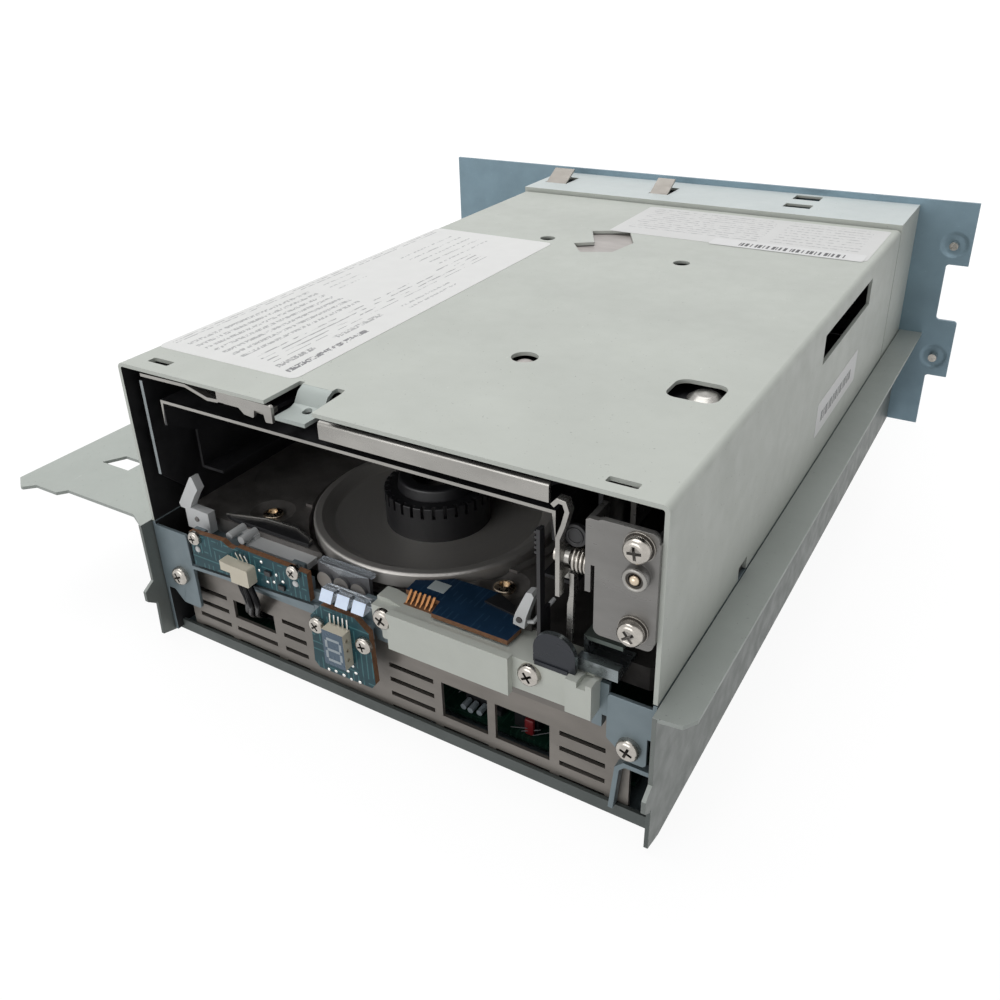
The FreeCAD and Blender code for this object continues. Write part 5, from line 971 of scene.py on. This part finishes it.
# ------------------------------------------------------------------ carried-over nodes
def second_finishes(dressed):
    """Faces of a node whose finish differs from the rest of it. Some are painted shade (the insides of the
    case, the carrier's walls and sill, the stud's hollow) and painted light (the shelf, the rear box's top).
    """
    cover, box = dressed["top_cover"], dressed["rear_box"]
    pan, tray = dressed["lower_chassis"], dressed["carrier_tray"]
    nodes = frame["nodes"]
    pipes = nodes["light_pipes"]

    def in_tongue(c):
        return TONGUE_X[0] < c.x < TONGUE_X[1] and c.y < TONGUE_BACK

    def in_disc(c):
        return any(math.hypot(c.x - (DISC_X + DISC_PITCH * index), c.z - DISC_Z) < DISC_RADIUS
                   for index in range(3))

    # Painted shade: the insides of the cover and of the pan are painted near black
    paint(cover, INSIDE_SHADE, lambda c, n: abs(c.x) < COVER_INSIDE and 3.0 < c.y < 204 and c.z < 82.6
          and not in_tongue(c))
    paint(cover, TONGUE, lambda c, n: in_tongue(c))
    paint(pan, INSIDE_SHADE, lambda c, n: abs(c.x) < COVER_INSIDE and c.y > 3.0 and c.z > 2.0)
    # Painted shade on the carrier's walls
    paint(tray, WALL_SHADE, lambda c, n: 60 < abs(c.x) < 75 and c.z < 37.4 and abs(n.z) < 0.5)
    # Painted light on the top of the left shelf
    paint(tray, SHELF_LIGHT, lambda c, n: c.x < -74.4 and n.z > 0.8)
    # Painted shade on the tray's front sill
    paint(tray, SILL_SHADE, lambda c, n: abs(c.x) < 74.0 and c.y < 6.0 and c.z < 8.0)
    # Painted light on the rear box's top faces
    paint(box, LIT_BOX_TOP, lambda c, n: n.z > 0.8 and c.z < BOX_TOP_LEVEL)
    paint(box, TONGUE_METAL, lambda c, n: c.z > BOX_TOP_LEVEL)
    for name in ("sensor_board", "display_board"):
        paint(nodes[name], EDGE, lambda c, n: abs(n.y) < 0.5)
    paint(nodes["contact_board"], EDGE, lambda c, n: abs(n.z) < 0.5)
    paint(nodes["seven_segment_block"], DIGIT_FACE, lambda c, n: n.y < -0.9 and c.y < DIGIT_FRONT + 0.1)
    paint(pipes, GREY, lambda c, n: c.y > PIPE_BACK and c.z < 39.8)
    paint(pipes, DISC, lambda c, n: PIPE_BACK < c.y < PIPE_BACK + 1.0 and n.y < -0.5 and in_disc(c))
    # Painted shade round the stud's pin, inside its rim
    paint(dressed["side_bracket"], RECESS_SHADE, lambda c, n: math.hypot(c.x - STUD[0], c.z - STUD[1]) < 2.5
          and c.y < SIDE_BRACKET_Y - 0.05)
    paint(nodes["front_rail"], RAIL_TOP, lambda c, n: c.z > 44.4)
    paint(nodes["rail_tab"], RAIL, lambda c, n: abs(n.y) < 0.5 and c.z > 40.5)
    paint(nodes["loader_cage"], BRIGHT_LIP, lambda c, n: n.y < -0.8 and c.z > 70.0 and c.y < 20.0)
    paint(nodes["loader_side_left"], RAIL, lambda c, n: n.y < -0.8)


def carried_nodes():
    """Each node of the construction gets its finish."""
    for node, finish in NODE_FINISH.items():
        thing = frame["nodes"][node]
        thing.data.materials.clear()
        thing.data.materials.append(finish)


# ------------------------------------------------------------------ stage, light and camera
def stage():
    """White floor that fades into a white surround away from the drive."""
    deselect()
    bpy.ops.mesh.primitive_plane_add(size=30, location=(0, 0, -0.0003))
    floor = bpy.context.object
    floor.name = "floor"
    finish = Finish("floor_white", (0.68, 0.68, 0.68), 0.9)
    glow = finish.add("ShaderNodeEmission")
    glow.inputs["Color"].default_value = (1, 1, 1, 1)
    glow.inputs["Strength"].default_value = 1.1
    far = finish.add("ShaderNodeVectorMath", operation="LENGTH")
    finish.link(finish.place, far.inputs[0])
    share = finish.span(far.outputs["Value"], 0.18, 0.5, 0.84, 1.0)
    seen = finish.add("ShaderNodeLightPath")
    direct = finish.maths("MAXIMUM", seen.outputs["Is Camera Ray"], seen.outputs["Is Glossy Ray"])
    direct = finish.maths("MAXIMUM", direct, seen.outputs["Is Transmission Ray"])
    mix = finish.add("ShaderNodeMixShader")
    finish.link(finish.maths("MULTIPLY", direct, share), mix.inputs["Fac"])
    finish.link(finish.shader.outputs["BSDF"], mix.inputs[1])
    finish.link(glow.outputs["Emission"], mix.inputs[2])
    finish.link(mix.outputs["Shader"], finish.tree.nodes["Material Output"].inputs["Surface"])
    floor.data.materials.append(finish.material)


def area_light(name, place, target, size, power):
    """A rectangular lamp that shines from a place to a target, both in metres."""
    data = bpy.data.lights.new(name, "AREA")
    data.shape = "RECTANGLE"
    data.size, data.size_y = size
    data.energy = power
    lamp = bpy.data.objects.new(name, data)
    lamp.location = place
    lamp.rotation_euler = (Vector(target) - Vector(place)).to_track_quat("-Z", "Y").to_euler()
    bpy.context.collection.objects.link(lamp)


def light():
    """A large lamp above, a weak one in front, and a soft surround that looks plain white."""
    area_light("key", (-0.45, 0.3, 2.2), (0, 0.1, 0.04), (1.9, 1.9), 32.0)
    area_light("front_fill", (-0.25, -1.05, 0.42), (0, 0.0, 0.04), (0.9, 0.6), 3.6)
    world = bpy.data.worlds.new("studio")
    bpy.context.scene.world = world
    world.use_nodes = True
    tree = world.node_tree
    soft = tree.nodes["Background"]
    soft.inputs["Color"].default_value = (0.97, 0.985, 1.0, 1)
    soft.inputs["Strength"].default_value = 0.30
    white = tree.nodes.new("ShaderNodeBackground")
    white.inputs["Color"].default_value = (1, 1, 1, 1)
    white.inputs["Strength"].default_value = 1.0
    seen = tree.nodes.new("ShaderNodeLightPath")
    first = tree.nodes.new("ShaderNodeMath")
    first.operation = "MAXIMUM"
    tree.links.new(seen.outputs["Is Camera Ray"], first.inputs[0])
    tree.links.new(seen.outputs["Is Transmission Ray"], first.inputs[1])
    either = tree.nodes.new("ShaderNodeMath")
    either.operation = "MAXIMUM"
    tree.links.new(first.outputs["Value"], either.inputs[0])
    tree.links.new(seen.outputs["Is Glossy Ray"], either.inputs[1])
    mix = tree.nodes.new("ShaderNodeMixShader")
    tree.links.new(either.outputs["Value"], mix.inputs["Fac"])
    tree.links.new(soft.outputs["Background"], mix.inputs[1])
    tree.links.new(white.outputs["Background"], mix.inputs[2])
    tree.links.new(mix.outputs["Shader"], tree.nodes["World Output"].inputs["Surface"])


def camera():
    """The one view, from the front right and above."""
    data = bpy.data.cameras.new("camera")
    data.lens = 34.69
    data.sensor_width = 36.0
    data.shift_x = 0.0100
    data.shift_y = -0.0543
    data.clip_start = 0.01
    view = bpy.data.objects.new("camera", data)
    view.location = (0.1239, -0.1402, 0.1722)
    view.rotation_euler = [math.radians(angle) for angle in (62.659, 1.660, 31.332)]
    bpy.context.collection.objects.link(view)
    bpy.context.scene.camera = view


carried_nodes()
second_finishes({node: dress(node, width) for node, width in SOFT_EDGES.items()})
front_screws()
labels()
pipe_faces()
digit()
board_details()
deck_plate()
sense_tail()
round_details()
board_parts()
under_cover()
stage()
light()
camera()
bpy.context.scene.view_settings.view_transform = "Standard"
